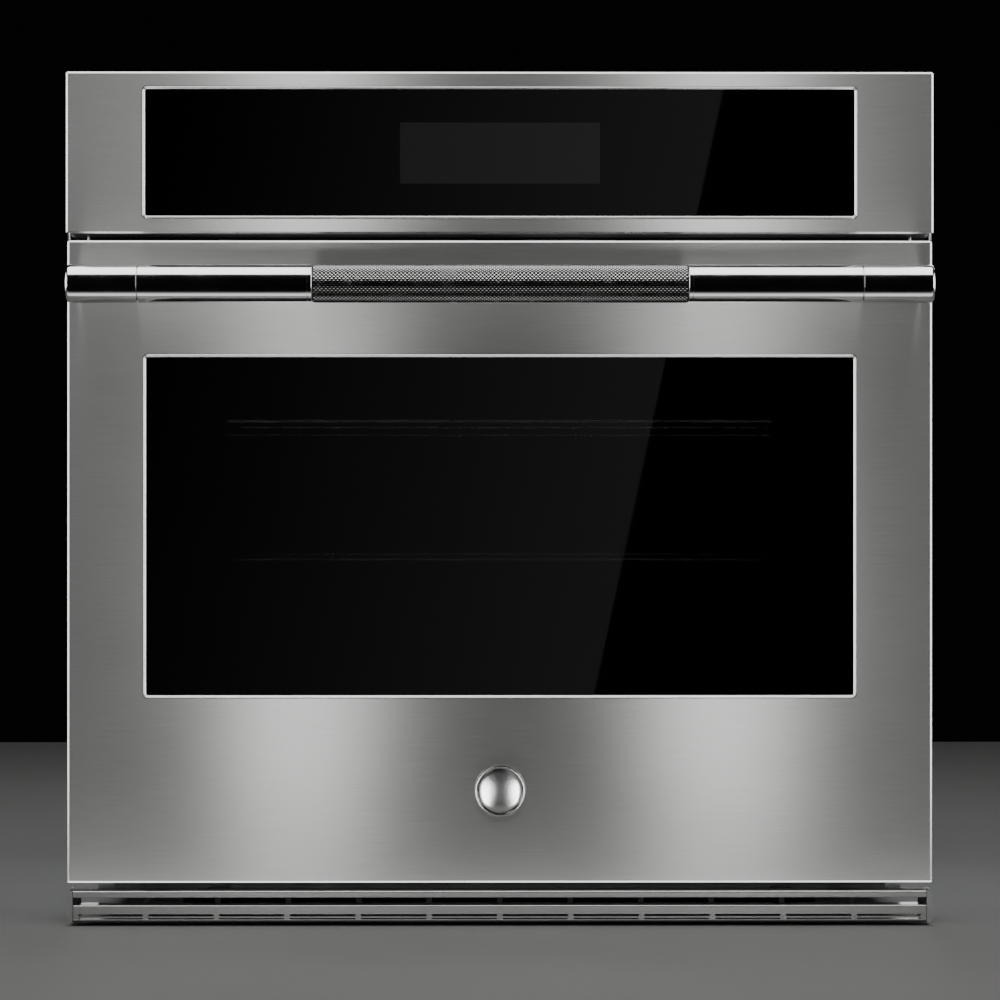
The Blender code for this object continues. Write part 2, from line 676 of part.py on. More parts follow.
def build_blower():
    high = BLOWER_HIGH
    low = BLOWER_LOW
    mid = (low + high) / 2
    housing = add_rod("blower_housing", (BLOWER_X, BLOWER_Y, mid), "Z", BLOWER_R, high - low, 24)
    inner = BLOWER_R - 0.0015
    spout = BLOWER_X - BLOWER_R
    join_box(housing, (spout + 0.0007, -0.080, low + 0.0004), (spout + 0.070, BLOWER_Y, high - 0.0004))
    cut_box(housing, (spout + 0.0025, -0.090, low + 0.0019), (spout + 0.0685, BLOWER_Y + 0.001, high - 0.0019))
    cut_rod(housing, (BLOWER_X, BLOWER_Y, mid), "Z", inner, high - low - 0.003, 24)
    cut_rod(housing, (BLOWER_X, BLOWER_Y, high), "Z", 0.045, 0.01, 24)
    paint(housing, "galvanised")
    shaft = high - 0.014
    body = [(0.0, high + 0.048), (0.026, high + 0.048), (0.030, high + 0.044), (0.030, high + 0.012),
            (0.003, high + 0.012), (0.003, low + 0.016), (0.0, low + 0.016)]
    motor = add_turned("blower_motor", body, (BLOWER_X, BLOWER_Y, 0), "Z")
    join_box(motor, (BLOWER_X - 0.062, BLOWER_Y - 0.008, high + 0.014),
             (BLOWER_X + 0.062, BLOWER_Y + 0.008, high + 0.018))
    for side in (-1, 1):
        x = BLOWER_X + side * 0.060
        join_box(motor, (x - 0.0019, BLOWER_Y - 0.0079, high + GAP), (x + 0.0019, BLOWER_Y + 0.0079, high + 0.016))
    paint(motor, "dark_paint")
    wheel_low = low + 0.008
    hub = [(0.010, shaft), (0.0115, wheel_low + 0.004), (0.062, wheel_low + 0.0015), (0.062, wheel_low),
           (0.0033, wheel_low), (0.0033, shaft)]
    wheel = add_turned("blower_wheel", hub, (BLOWER_X, BLOWER_Y, 0), "Z", 24, closed=True)
    blades = bmesh.new()
    blade_high = 0.036
    count = 16
    for index in range(count):
        part = bmesh.ops.create_cube(blades, size=1.0)["verts"]
        bmesh.ops.scale(blades, vec=(0.013, 0.0010, blade_high), verts=part)
        bmesh.ops.rotate(blades, verts=part, matrix=Matrix.Rotation(0.6, 3, "Z"))
        bmesh.ops.translate(blades, vec=(0.0535, 0, wheel_low + 0.0007 + blade_high / 2), verts=part)
        bmesh.ops.rotate(blades, verts=part, matrix=Matrix.Rotation(math.tau * index / count, 3, "Z"))
    join(wheel, new_object("blower_wheel_blades", blades, (BLOWER_X, BLOWER_Y, 0), helper=True))
    paint(wheel, "galvanised")
    add_pivot("blower_axis", (BLOWER_X, BLOWER_Y, mid), [wheel])


def build_latch():
    gear = add_box("latch_motor", (-0.022, LATCH_Y - 0.020, DUCT_Z + SHEET + GAP),
                   (0.022, LATCH_Y + 0.035, 0.618), 0.004, "Z", 2)
    join_rod(gear, (0, LATCH_Y, 0.589), "Z", 0.004, 0.022)
    paint(gear, "dark_paint")
    thick = 0.003
    hook = add_rod("latch_hook", (0, LATCH_Y, LATCH_Z), "Z", 0.009, thick, 20)
    tip = DOOR_BACK - 0.0125
    join_box(hook, (-0.005, tip, LATCH_Z - 0.0014), (0.003, LATCH_Y - 0.004, LATCH_Z + 0.0014))
    join_box(hook, (-0.0049, tip - 0.0005, LATCH_Z - 0.0013), (0.009, tip + 0.0050, LATCH_Z + 0.0013))
    cut_rod(hook, (0, LATCH_Y, LATCH_Z), "Z", 0.0045, 0.01)
    paint(hook, "galvanised")
    add_pivot("latch_axis", (0, LATCH_Y, LATCH_Z), [hook])
    near = CHASSIS_FRONT
    switch = add_box("door_switch", (SWITCH_X - 0.010, near, LATCH_Z - 0.008),
                     (SWITCH_X + 0.010, near + 0.022, LATCH_Z + 0.008), 0.002, "Y", 2)
    cut_rod(switch, (SWITCH_X, near, LATCH_Z), "Y", 0.0033, 0.030)
    paint(switch, "plastic")
    tip = DOOR_BACK + 0.0005
    length = near + 0.012 - tip
    pin = add_rod("switch_plunger", (SWITCH_X, tip + length / 2, LATCH_Z), "Y", 0.0030, length, 16)
    paint(pin, "plastic")
    add_pivot("switch_slide", (SWITCH_X, tip, LATCH_Z), [pin])


# Control panel --------------------------------------------------------------------------


def add_ring(name, half, low, high, near, far, border, corner):
    ring = add_box(name, (-half, near, low), (half, far, high), corner)
    cut_box(ring, (-half + border, near - 0.005, low + border), (half - border, far + 0.005, high - border),
            corner * 0.6)
    return ring


def build_control_panel():
    fascia = add_tray("control_fascia", (-WIDTH / 2, DOOR_FRONT, FASCIA_LOW),
                      (WIDTH / 2, FRAME_FRONT - 0.0005, HEIGHT), SHEET, (0, 1, 0))
    cut_box(fascia, (-PANEL_HALF - GAP, DOOR_FRONT - 0.01, PANEL_LOW - GAP),
            (PANEL_HALF + GAP, DOOR_FRONT + 0.01, PANEL_HIGH + GAP), 0.004)
    paint(fascia, "brushed_steel")
    bezel = add_ring("control_bezel", PANEL_HALF, PANEL_LOW, PANEL_HIGH, DOOR_FRONT - BEZEL_PROUD,
                     DOOR_FRONT + 0.0050, BEZEL, 0.004)
    paint(bezel, "polished_steel")
    inset = BEZEL + GAP
    front = DOOR_FRONT + PANE_BACK
    glass = add_box("control_glass", (-PANEL_HALF + inset, front, PANEL_LOW + inset),
                    (PANEL_HALF - inset, front + GLASS, PANEL_HIGH - inset), 0.002)
    paint(glass, "black_glass")
    near = front + GLASS + GAP
    display = add_box("display_module", (-DISPLAY_HALF - 0.008, near, DISPLAY_LOW - 0.006),
                      (DISPLAY_HALF + 0.008, near + 0.014, DISPLAY_HIGH + 0.006), 0.003)
    join_box(display, (-0.150, near + 0.013, DISPLAY_LOW - 0.016), (0.150, near + 0.0146, DISPLAY_HIGH + 0.016))
    paint(display, "plastic")


# Door -----------------------------------------------------------------------------------


def hinge_notches(near):
    spans = []
    for side in (-1, 1):
        x = side * HINGE_X
        spans.append(((x - 0.0110, near, 0.030), (x + 0.0110, DOOR_BACK + 0.010, PIVOT_Z + 0.0135)))
    return spans


def build_door():
    skin = add_tray("door_skin", (-DOOR_HALF, DOOR_FRONT, DOOR_LOW), (DOOR_HALF, DOOR_BACK - 0.002, DOOR_HIGH),
                    SHEET, (0, 1, 0))
    cut_box(skin, (-WINDOW_HALF - GAP, DOOR_FRONT - 0.01, WINDOW_LOW - GAP),
            (WINDOW_HALF + GAP, DOOR_FRONT + 0.01, WINDOW_HIGH + GAP), 0.005)
    cut(skin, add_boxes("door_skin_notches", hinge_notches(DOOR_FRONT + 0.0022)))
    paint(skin, "brushed_steel")
    bezel = add_ring("window_bezel", WINDOW_HALF, WINDOW_LOW, WINDOW_HIGH, DOOR_FRONT - BEZEL_PROUD,
                     DOOR_FRONT + 0.0060, BEZEL, 0.005)
    paint(bezel, "polished_steel")
    inset = BEZEL + GAP
    front = DOOR_FRONT + PANE_BACK
    glass = add_box("window_glass", (-WINDOW_HALF + inset, front, WINDOW_LOW + inset),
                    (WINDOW_HALF - inset, front + GLASS, WINDOW_HIGH - inset), 0.0025)
    paint(glass, "black_glass")
    pane_half = VIEW_HALF + 0.024
    pane_low = VIEW_LOW - 0.012
    pane_high = VIEW_HIGH + 0.012
    inner_front = DOOR_BACK - SHEET - GAP - GLASS
    inner = add_box("inner_glass", (-pane_half, inner_front, pane_low), (pane_half, inner_front + GLASS, pane_high),
                    0.006)
    paint(inner, "clear_glass")
    middle_front = DOOR_BACK - 0.020
    pane = add_box("middle_glass", (-pane_half, middle_front, pane_low),
                   (pane_half, middle_front + GLASS, pane_high), 0.006)
    paint(pane, "clear_glass")
    spacer = add_ring("glass_spacer", pane_half + 0.006, pane_low - 0.006, pane_high + 0.006,
                      middle_front + GLASS + GAP, inner_front - GAP, 0.018, 0.006)
    paint(spacer, "galvanised")
    liner = build_liner()
    wool = add_ring("door_insulation", 0.3700, 0.0750, 0.5970, DOOR_FRONT + 0.0065, middle_front + 0.001,
                    0.055, 0.004)
    gaps = []
    for side in (-1, 1):
        x = side * HINGE_X
        gaps.append(((x - 0.012, DOOR_FRONT, 0.030), (x + 0.012, DOOR_BACK, 0.118)))
    cut(wool, add_boxes("door_insulation_gaps", gaps))
    paint(wool, "fibre")
    badge = add_turned("badge", [(0.0, 0.0028), (0.0150, 0.0024), (0.0185, 0.0020), (0.0195, 0.0030),
                                 (0.0215, 0.0030), (0.0225, 0.0022), (0.0225, 0.0003), (0.0, 0.0003)],
                       (0, DOOR_FRONT, BADGE_Z), "Y", 24)
    badge.rotation_euler = Matrix.Rotation(math.pi / 2, 4, "X").to_euler()
    paint(badge, "polished_steel")
    moving = [skin, bezel, glass, inner, pane, spacer, liner, wool, badge]
    moving += build_hinge_channels()
    moving += build_handle()
    add_pivot("door_hinge_axis", (0, PIVOT_Y, PIVOT_Z), moving)


def build_liner():
    edge = SHEET + GAP
    liner = add_tray("door_liner", (-DOOR_HALF + edge, DOOR_BACK - 0.014, DOOR_LOW + edge),
                     (DOOR_HALF - edge, DOOR_BACK, DOOR_HIGH - edge), SHEET, (0, -1, 0))
    join_box(liner, (-0.305, DOOR_BACK - 0.0010, 0.1400), (0.305, DOOR_BACK + 0.0045, 0.5420))
    cut_box(liner, (-VIEW_HALF, DOOR_BACK - 0.01, VIEW_LOW), (VIEW_HALF, DOOR_BACK + 0.01, VIEW_HIGH), 0.012)
    slots = hinge_notches(DOOR_BACK - 0.020)
    slots.append(((-0.012, DOOR_BACK - 0.005, LATCH_Z - 0.005), (0.012, DOOR_BACK + 0.005, LATCH_Z + 0.005)))
    cut(liner, add_boxes("door_liner_slots", slots))
    paint(liner, "enamel")
    return liner


def build_hinge_channels():
    channels = []
    wall = 0.0015
    near = DOOR_FRONT + 0.0025
    far = DOOR_BACK - 0.0025
    low = DOOR_LOW + SHEET + 2 * GAP + 0.0013
    high = 0.112
    for side, name in ((-1, "left"), (1, "right")):
        x = side * HINGE_X
        channel = add_box("hinge_channel_" + name, (x - 0.009, near, low), (x + 0.009, far, high))
        cut_box(channel, (x - 0.009 + wall, near + wall, low - 0.01), (x + 0.009 - wall, far + 0.01, high - wall))
        join_rod(channel, (x, PIVOT_Y, PIVOT_Z), "X", HINGE_PIN_R, 0.0175, 16)
        paint(channel, "galvanised")
        channels.append(channel)
    return channels


def build_hinge_arms():
    for side, name in ((-1, "left"), (1, "right")):
        x = side * HINGE_X
        arm = add_rod("hinge_arm_" + name, (x, PIVOT_Y, PIVOT_Z), "X", ARM_HALF_HIGH, ARM_THICK, 24)
        half = ARM_THICK / 2 - 0.0001
        join_box(arm, (x - half, PIVOT_Y, PIVOT_Z - 0.0095), (x + half, -0.160, PIVOT_Z + 0.0095))
        join_box(arm, (x - 0.012, -0.2150, PAN_LOW + SHEET + GAP), (x + 0.012, -0.1650, PIVOT_Z - 0.0050))
        cut_rod(arm, (x, PIVOT_Y, PIVOT_Z), "X", HINGE_PIN_R + GAP, 0.02, 16)
        paint(arm, "galvanised")


def build_handle():
    end = HANDLE_HALF - BRACKET_LENGTH - GAP
    edge = 0.0005
    floor = HANDLE_R - GROOVE_DEPTH
    half = [(HANDLE_BORE_R, end), (HANDLE_R - edge, end), (HANDLE_R, end - edge), (HANDLE_R, GROOVE_X + 0.0012),
            (floor, GROOVE_X + 0.0009), (floor, GROOVE_X + 0.0003), (HANDLE_R, GROOVE_X),
            (HANDLE_R, GRIP_HALF), (NECK_R, GRIP_HALF)]
    profile = half + [(radius, -height) for radius, height in reversed(half)]
    bar = add_turned("handle_bar", profile, (0, HANDLE_Y, HANDLE_Z), "X", 20, closed=True)
    paint(bar, "polished_steel")
    reach = GRIP_HALF - GAP
    sleeve = [(NECK_R + GAP, reach), (HANDLE_R - 0.0006, reach), (HANDLE_R, reach - 0.0008),
              (HANDLE_R, 0.0008 - reach), (HANDLE_R - 0.0006, -reach), (NECK_R + GAP, -reach)]
    grip = add_turned("handle_grip", sleeve, (0, HANDLE_Y, HANDLE_Z), "X", 24, closed=True)
    paint(grip, "brushed_steel")
    pieces = [bar, grip]
    for side, name in ((-1, "left"), (1, "right")):
        outer = BRACKET_LENGTH
        shape = [(0.0, outer), (HANDLE_R - 0.0030, outer - 0.0004), (HANDLE_R - 0.0008, outer - 0.0018),
                 (HANDLE_R, outer - 0.0042), (HANDLE_R, edge), (HANDLE_R - edge, 0.0), (0.0, 0.0)]
        start = side * (HANDLE_HALF - BRACKET_LENGTH)
        bracket = add_turned("handle_bracket_" + name, shape, (start, HANDLE_Y, HANDLE_Z), "X", 20)
        if side < 0:
            bracket.rotation_euler = Matrix.Rotation(-math.pi / 2, 4, "Y").to_euler()
        low_x = min(side * STEM_NEAR, side * STEM_FAR)
        high_x = max(side * STEM_NEAR, side * STEM_FAR)
        stem = add_box(bracket.name + "_stem", (low_x, HANDLE_Y, HANDLE_Z - STEM_HALF_HIGH),
                       (high_x, DOOR_FRONT - GAP, HANDLE_Z + STEM_HALF_HIGH), 0.004, "Y", 3, helper=True)
        join(bracket, stem)
        paint(bracket, "polished_steel")
        pieces.append(bracket)
    return pieces


# Vent trim ------------------------------------------------------------------------------


def build_vent_trim():
    trim = add_box("vent_trim", (-TRIM_HALF, TRIM_FRONT, TRIM_RAIL_LOW), (TRIM_HALF, TRIM_BACK, TRIM_HIGH))
    lower = add_box("vent_trim_lower", (-TRIM_HALF + 0.0001, TRIM_FRONT + 0.0002, TRIM_LOW),
                    (TRIM_HALF - 0.0001, TRIM_BACK - 0.0002, TRIM_STEP), helper=True)
    join(trim, lower)
    join_box(trim, (-TRIM_HALF + 0.0002, TRIM_BACK - 0.0020, TRIM_LOW + 0.0002),
             (TRIM_HALF - 0.0002, TRIM_BACK + 0.0001, TRIM_HIGH - 0.0010))
    reach = 0.010
    lean = math.radians(40)
    slope = add_box("vent_trim_slope", (-TRIM_HALF - reach, -reach, -reach), (TRIM_HALF + reach, reach, reach),
                    helper=True)
    slope.location = (0, TRIM_FRONT - reach * math.sin(lean), TRIM_SILL - reach * math.cos(lean))
    slope.rotation_euler = (-lean, 0, 0)
    cut(trim, slope)
    slots = []
    for group in range(TRIM_GROUPS):
        centre = TRIM_PITCH * (group - (TRIM_GROUPS - 1) / 2)
        left = centre - (TRIM_PITCH - TRIM_RIB) / 2
        right = centre + (TRIM_PITCH - TRIM_RIB) / 2
        for low, high in TRIM_SLOTS:
            slots.append(((left, TRIM_FRONT - 0.005, low), (right, TRIM_BACK + 0.005, high)))
        low, high = TRIM_INTAKE
        slots.append(((left, TRIM_BACK - 0.006, low), (right, TRIM_BACK + 0.005, high)))
    cut(trim, add_boxes("vent_trim_slots", slots))
    arms = []
    for side in (-1, 1):
        x = side * TRIM_ARM_X
        arms.append(((x - 0.010, TRIM_BACK - 0.001, 0.0248), (x + 0.010, CHASSIS_FRONT + SHEET, 0.0288)))
    join(trim, add_boxes("vent_trim_arms", arms))
    paint(trim, "brushed_steel")
    for side, name in ((-1, "left"), (1, "right")):
        near_x = side * (TRIM_HALF + GAP)
        far_x = side * (TRIM_HALF + GAP + CAP_WIDTH)
        cap = add_box("vent_cap_" + name, (min(near_x, far_x), TRIM_FRONT - 0.0005, TRIM_LOW),
                      (max(near_x, far_x), TRIM_BACK + 0.004, CAP_HIGH), 0.004, "X", 3)
        paint(cap, "polished_steel")


def build():
    clear_scene()
    build_casing()
    build_front_frame()
    build_cavity()
    build_elements()
    build_fan()
    build_rack_guides()
    build_racks()
    build_top_works()
    build_control_panel()
    build_door()
    build_hinge_arms()
    build_vent_trim()


build()
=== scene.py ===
import json
import math

import bmesh
import bpy
from mathutils import Matrix, Vector

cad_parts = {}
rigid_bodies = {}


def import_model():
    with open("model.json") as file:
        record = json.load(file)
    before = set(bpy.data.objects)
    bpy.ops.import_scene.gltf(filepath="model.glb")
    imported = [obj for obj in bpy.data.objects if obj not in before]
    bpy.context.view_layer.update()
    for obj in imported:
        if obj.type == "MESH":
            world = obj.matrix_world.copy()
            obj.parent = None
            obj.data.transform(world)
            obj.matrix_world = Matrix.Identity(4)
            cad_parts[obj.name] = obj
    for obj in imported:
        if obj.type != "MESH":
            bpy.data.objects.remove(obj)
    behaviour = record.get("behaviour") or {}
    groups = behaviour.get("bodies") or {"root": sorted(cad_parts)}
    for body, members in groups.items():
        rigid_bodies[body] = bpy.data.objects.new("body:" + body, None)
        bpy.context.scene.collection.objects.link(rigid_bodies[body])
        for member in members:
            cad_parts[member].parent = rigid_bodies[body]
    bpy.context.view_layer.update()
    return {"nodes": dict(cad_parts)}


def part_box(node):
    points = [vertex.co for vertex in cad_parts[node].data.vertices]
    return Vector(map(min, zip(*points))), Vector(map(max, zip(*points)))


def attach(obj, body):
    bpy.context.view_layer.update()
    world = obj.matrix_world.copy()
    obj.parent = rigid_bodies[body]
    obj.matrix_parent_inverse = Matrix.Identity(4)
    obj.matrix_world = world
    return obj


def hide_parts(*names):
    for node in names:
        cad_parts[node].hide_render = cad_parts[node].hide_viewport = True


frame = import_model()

nodes = frame["nodes"]
tau = math.tau
sideNames = {-1: "left", 1: "right"}
weldDistance = 0.000005
broadFace = 0.0006


# ---- small helpers for shader and geometry nodes

def addNode(tree, kind, values=None, **settings):
    # a value may be plain, another node's socket, or a node whose first output is meant
    node = tree.nodes.new(kind)
    for key, value in settings.items():
        setattr(node, key, value)
    for key, value in (values or {}).items():
        if isinstance(value, bpy.types.Node):
            value = value.outputs[0]
        if isinstance(value, bpy.types.NodeSocket):
            tree.links.new(value, node.inputs[key])
        else:
            node.inputs[key].default_value = value
    return node


def calc(tree, operation, first, second=0.0):
    return addNode(tree, "ShaderNodeMath", {0: first, 1: second}, operation=operation).outputs[0]


def newMaterial(name, sockets):
    material = bpy.data.materials.new(name)
    material.use_nodes = True
    shader = material.node_tree.nodes["Principled BSDF"]
    for key, value in sockets.items():
        shader.inputs[key].default_value = value
    return material, material.node_tree, shader


def objectCoords(tree, stretch=(1, 1, 1)):
    coords = addNode(tree, "ShaderNodeTexCoord").outputs["Object"]
    return addNode(tree, "ShaderNodeMapping", {"Vector": coords, "Scale": stretch}).outputs["Vector"]


def axisCoords(tree):
    coords = addNode(tree, "ShaderNodeTexCoord").outputs["Object"]
    return addNode(tree, "ShaderNodeSeparateXYZ", {"Vector": coords}).outputs


def noise(tree, scale, detail, stretch=(1, 1, 1), roughness=0.55):
    values = {"Vector": objectCoords(tree, stretch), "Scale": scale, "Detail": detail, "Roughness": roughness}
    return addNode(tree, "ShaderNodeTexNoise", values).outputs["Fac"]


def cells(tree, scale):
    return addNode(tree, "ShaderNodeTexVoronoi", {"Vector": objectCoords(tree), "Scale": scale}).outputs


def mixture(tree, first, second, share):
    return calc(tree, "ADD", calc(tree, "MULTIPLY", first, share), calc(tree, "MULTIPLY", second, 1 - share))


def spread(tree, value, low, high, start=0.0, end=1.0):
    return addNode(tree, "ShaderNodeMapRange", {"Value": value, "From Min": start, "From Max": end,
                                                "To Min": low, "To Max": high}).outputs["Result"]


def ramp(tree, value, stops):
    node = addNode(tree, "ShaderNodeValToRGB", {"Fac": value})
    band = node.color_ramp
    while len(band.elements) < len(stops):
        band.elements.new(0.5)
    for element, (place, color) in zip(band.elements, stops):
        element.position = place
        element.color = (*color, 1.0)
    return node.outputs["Color"]


def setColor(tree, shader, value, *stops):
    tree.links.new(ramp(tree, value, stops), shader.inputs["Base Color"])


def setRoughness(tree, shader, value, low, high, start=0.3, end=0.7):
    tree.links.new(spread(tree, value, low, high, start, end), shader.inputs["Roughness"])


def setBump(tree, shader, value, strength, distance):
    node = addNode(tree, "ShaderNodeBump", {"Strength": strength, "Distance": distance, "Height": value})
    tree.links.new(node.outputs["Normal"], shader.inputs["Normal"])


# ---- materials

steelLook = {"dark": (0.48, 0.48, 0.475), "light": (0.60, 0.60, 0.59), "roughLow": 0.305, "roughHigh": 0.335,
             "anisotropy": 1.0, "grainLong": 22.0, "grainFine": 1500.0, "bump": 0.03}


def makeBrushedSteel(name, look):
    material, tree, shader = newMaterial(name, {"Metallic": 1.0, "Anisotropic": look["anisotropy"]})
    fine = noise(tree, 1.0, 4.0, (look["grainLong"], look["grainFine"], look["grainFine"]), 0.7)
    cloud = noise(tree, 2.0, 3.0, (3, 3, 9))
    setColor(tree, shader, mixture(tree, fine, cloud, 0.75), (0.3, look["dark"]), (0.7, look["light"]))
    setRoughness(tree, shader, fine, look["roughLow"], look["roughHigh"])
    setBump(tree, shader, fine, look["bump"], 0.00012)
    tangent = addNode(tree, "ShaderNodeTangent", direction_type="RADIAL", axis="X")
    tree.links.new(tangent.outputs["Tangent"], shader.inputs["Tangent"])
    return material


def makePolishedSteel(name, color, roughLow, roughHigh):
    material, tree, shader = newMaterial(name, {"Metallic": 1.0})
    setRoughness(tree, shader, noise(tree, 1.0, 4.0, (30, 30, 30)), roughLow, roughHigh)
    scratch = noise(tree, 1.0, 2.0, (40, 1500, 1500))
    setColor(tree, shader, scratch, (0.35, tuple(channel * 0.94 for channel in color)), (0.65, color))
    return material


def makeKnurlSteel(axisPlace, radius, depth):
    material, tree, shader = newMaterial("knurledSteel", {"Metallic": 1.0})
    parts = axisCoords(tree)
    across = calc(tree, "SUBTRACT", parts["Y"], axisPlace[1])
    up = calc(tree, "SUBTRACT", parts["Z"], axisPlace[2])
    square = calc(tree, "ADD", calc(tree, "MULTIPLY", across, across), calc(tree, "MULTIPLY", up, up))
    # the base colour is painted near black in the knurl's sunk hollows and steel-bright on the raised points:
    # painted shade in the recesses
    height = spread(tree, calc(tree, "SQRT", square), 0.0, 1.0, radius - depth, radius)
    setColor(tree, shader, height, (0.15, (0.03, 0.03, 0.03)), (0.85, (0.80, 0.80, 0.79)))
    setRoughness(tree, shader, noise(tree, 1.0, 3.0, (60, 60, 60)), 0.18, 0.30)
    return material


def makeGalvanised(name, dark, light):
    material, tree, shader = newMaterial(name, {"Metallic": 1.0})
    tone = addNode(tree, "ShaderNodeSeparateColor", {"Color": cells(tree, 130.0)["Color"]})
    spangle = tone.outputs["Red"]
    mottle = noise(tree, 22.0, 4.0)
    setColor(tree, shader, mixture(tree, spangle, mottle, 0.45), (0.2, dark), (0.8, light))
    setRoughness(tree, shader, spangle, 0.40, 0.50, 0.0, 1.0)
    setBump(tree, shader, mottle, 0.04, 0.0003)
    return material


def makeEnamel(name, base, speck, rough=0.22):
    material, tree, shader = newMaterial(name, {"Coat Weight": 0.35, "Coat Roughness": 0.08})
    dust = noise(tree, 420.0, 2.0)
    seed = calc(tree, "LESS_THAN", cells(tree, 620.0)["Distance"], 0.20)
    shown = calc(tree, "MULTIPLY", seed, calc(tree, "GREATER_THAN", dust, 0.56))
    setColor(tree, shader, shown, (0.0, base), (1.0, speck))
    setRoughness(tree, shader, dust, rough - 0.05, rough + 0.10)
    setBump(tree, shader, noise(tree, 90.0, 2.0), 0.12, 0.0004)
    return material


def makePaint(name, dark, light, rough, grainScale=700.0, metallic=0.0):
    material, tree, shader = newMaterial(name, {"Metallic": metallic})
    grain = noise(tree, grainScale, 3.0)
    setColor(tree, shader, noise(tree, 14.0, 4.0), (0.3, dark), (0.7, light))
    setRoughness(tree, shader, grain, rough - 0.06, rough + 0.08)
    setBump(tree, shader, grain, 0.15, 0.0003)
    return material


def makeGlass(name, color, alpha, rough, smear):
    material, tree, shader = newMaterial(name, {"Alpha": alpha, "IOR": 1.5})
    film = noise(tree, 1.0, 4.0, (9, 9, 5))
    light = tuple(channel * 1.6 + 0.0006 for channel in color)
    setColor(tree, shader, film, (0.35, color), (0.75, light))
    setRoughness(tree, shader, film, rough, rough + smear, 0.4, 0.8)
    return material


def makePanelGlass(displayBox):
    low, high = displayBox
    material, tree, shader = newMaterial("panelGlass", {"IOR": 1.5})
    parts = axisCoords(tree)
    inside = 1.0
    for axis, edge, test in (("X", low[0], "GREATER_THAN"), ("X", high[0], "LESS_THAN"),
                             ("Z", low[2], "GREATER_THAN"), ("Z", high[2], "LESS_THAN")):
        inside = calc(tree, "MULTIPLY", calc(tree, test, parts[axis], edge), inside)
    setColor(tree, shader, inside, (0.0, (0.0012, 0.0012, 0.0012)), (1.0, (0.026, 0.026, 0.027)))
    setRoughness(tree, shader, noise(tree, 1.0, 3.0, (8, 8, 8)), 0.015, 0.035, 0.4, 0.8)
    return material


def makeWool(name, dark, light):
    material, tree, shader = newMaterial(name, {"Roughness": 0.95})
    fibre = noise(tree, 1.0, 6.0, (90, 400, 400), 0.75)
    setColor(tree, shader, fibre, (0.3, dark), (0.7, light))
    setBump(tree, shader, fibre, 0.8, 0.002)
    return material


def makeBraid(name):
    material, tree, shader = newMaterial(name, {"Roughness": 0.85, "Sheen Weight": 0.3})
    coords = addNode(tree, "ShaderNodeTexCoord").outputs["UV"]
    strands = []
    for turn in (1, -1):
        mapping = addNode(tree, "ShaderNodeMapping",
                          {"Vector": coords, "Rotation": (0, 0, turn * math.radians(45))})
        wave = addNode(tree, "ShaderNodeTexWave",
                       {"Vector": mapping, "Scale": 5.0, "Distortion": 0.4, "Detail": 1.0})
        strands.append(wave.outputs["Fac"])
    weave = calc(tree, "MAXIMUM", *strands)
    setColor(tree, shader, weave, (0.2, (0.035, 0.034, 0.033)), (0.9, (0.20, 0.195, 0.185)))
    setBump(tree, shader, weave, 0.7, 0.0006)
    return material


def makeBoard(partHeight=0.009):
    # green tracks below, and the parts that stand up from the board in blue and black
    material, tree, shader = newMaterial("circuitBoard", {"Roughness": 0.45})
    raised = calc(tree, "GREATER_THAN", axisCoords(tree)["Z"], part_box("relay_board")[0][2] + partHeight)
    coords = addNode(tree, "ShaderNodeTexCoord").outputs["Object"]
    tracks = addNode(tree, "ShaderNodeTexBrick",
                     {"Vector": coords, "Scale": 90.0, "Mortar Size": 0.06, "Color1": (0.01, 0.09, 0.035, 1),
                      "Color2": (0.012, 0.12, 0.045, 1), "Mortar": (0.03, 0.20, 0.07, 1)})
    tops = ramp(tree, noise(tree, 60.0, 1.0), [(0.45, (0.015, 0.03, 0.10)), (0.55, (0.02, 0.02, 0.022))])
    blend = addNode(tree, "ShaderNodeMix", {"Factor": raised, "A": tracks.outputs["Color"], "B": tops},
                    data_type="RGBA")
    tree.links.new(blend.outputs["Result"], shader.inputs["Base Color"])
    return material


brushedSteel = makeBrushedSteel("brushedSteel", steelLook)
trimSteelLook = {**steelLook, "roughLow": 0.34, "roughHigh": 0.42, "anisotropy": 0.5}
trimSteel = makeBrushedSteel("trimSteel", trimSteelLook)
# the edge steel is smoother than the sheet steel and also painted brighter: real polish plus a painted
# highlight on chamfers, tabs, beads, bezels and rail edges
edgeSteelPaintedHighlight = makePolishedSteel("polishedEdge", (0.93, 0.93, 0.92), 0.20, 0.28)
polishedSteel = makePolishedSteel("polishedSteel", (0.84, 0.84, 0.83), 0.11, 0.16)
chromeWire = makePolishedSteel("chromeWire", (0.66, 0.66, 0.66), 0.12, 0.22)
sheetSteel = makeGalvanised("sheetSteel", (0.48, 0.50, 0.51), (0.62, 0.64, 0.65))
dullSteel = makeGalvanised("dullSteel", (0.30, 0.30, 0.30), (0.44, 0.44, 0.43))
ovenEnamel = makeEnamel("ovenEnamel", (0.012, 0.013, 0.016), (0.20, 0.21, 0.24))
frameEnamel = makeEnamel("frameEnamel", (0.006, 0.006, 0.007), (0.03, 0.03, 0.035), 0.30)
blackPaint = makePaint("blackPaint", (0.012, 0.012, 0.012), (0.020, 0.020, 0.020), 0.42)
blackPlastic = makePaint("blackPlastic", (0.016, 0.016, 0.017), (0.026, 0.026, 0.027), 0.50, 1400.0)
heatedMetal = makePaint("heatedMetal", (0.050, 0.040, 0.034), (0.115, 0.098, 0.090), 0.48, 900.0, 0.6)
windowGlass = makeGlass("windowGlass", (0.0012, 0.0012, 0.0012), 0.86, 0.012, 0.015)
clearGlass = makeGlass("clearGlass", (0.03, 0.036, 0.034), 0.12, 0.015, 0.02)
lampGlass = makeGlass("lampGlass", (0.62, 0.62, 0.60), 0.55, 0.10, 0.10)
rockWool = makeWool("rockWool", (0.33, 0.29, 0.20), (0.62, 0.56, 0.42))
gasketBraid = makeBraid("gasketBraid")
boardGreen = makeBoard()
print("stage: materials made")


# ---- mesh helpers

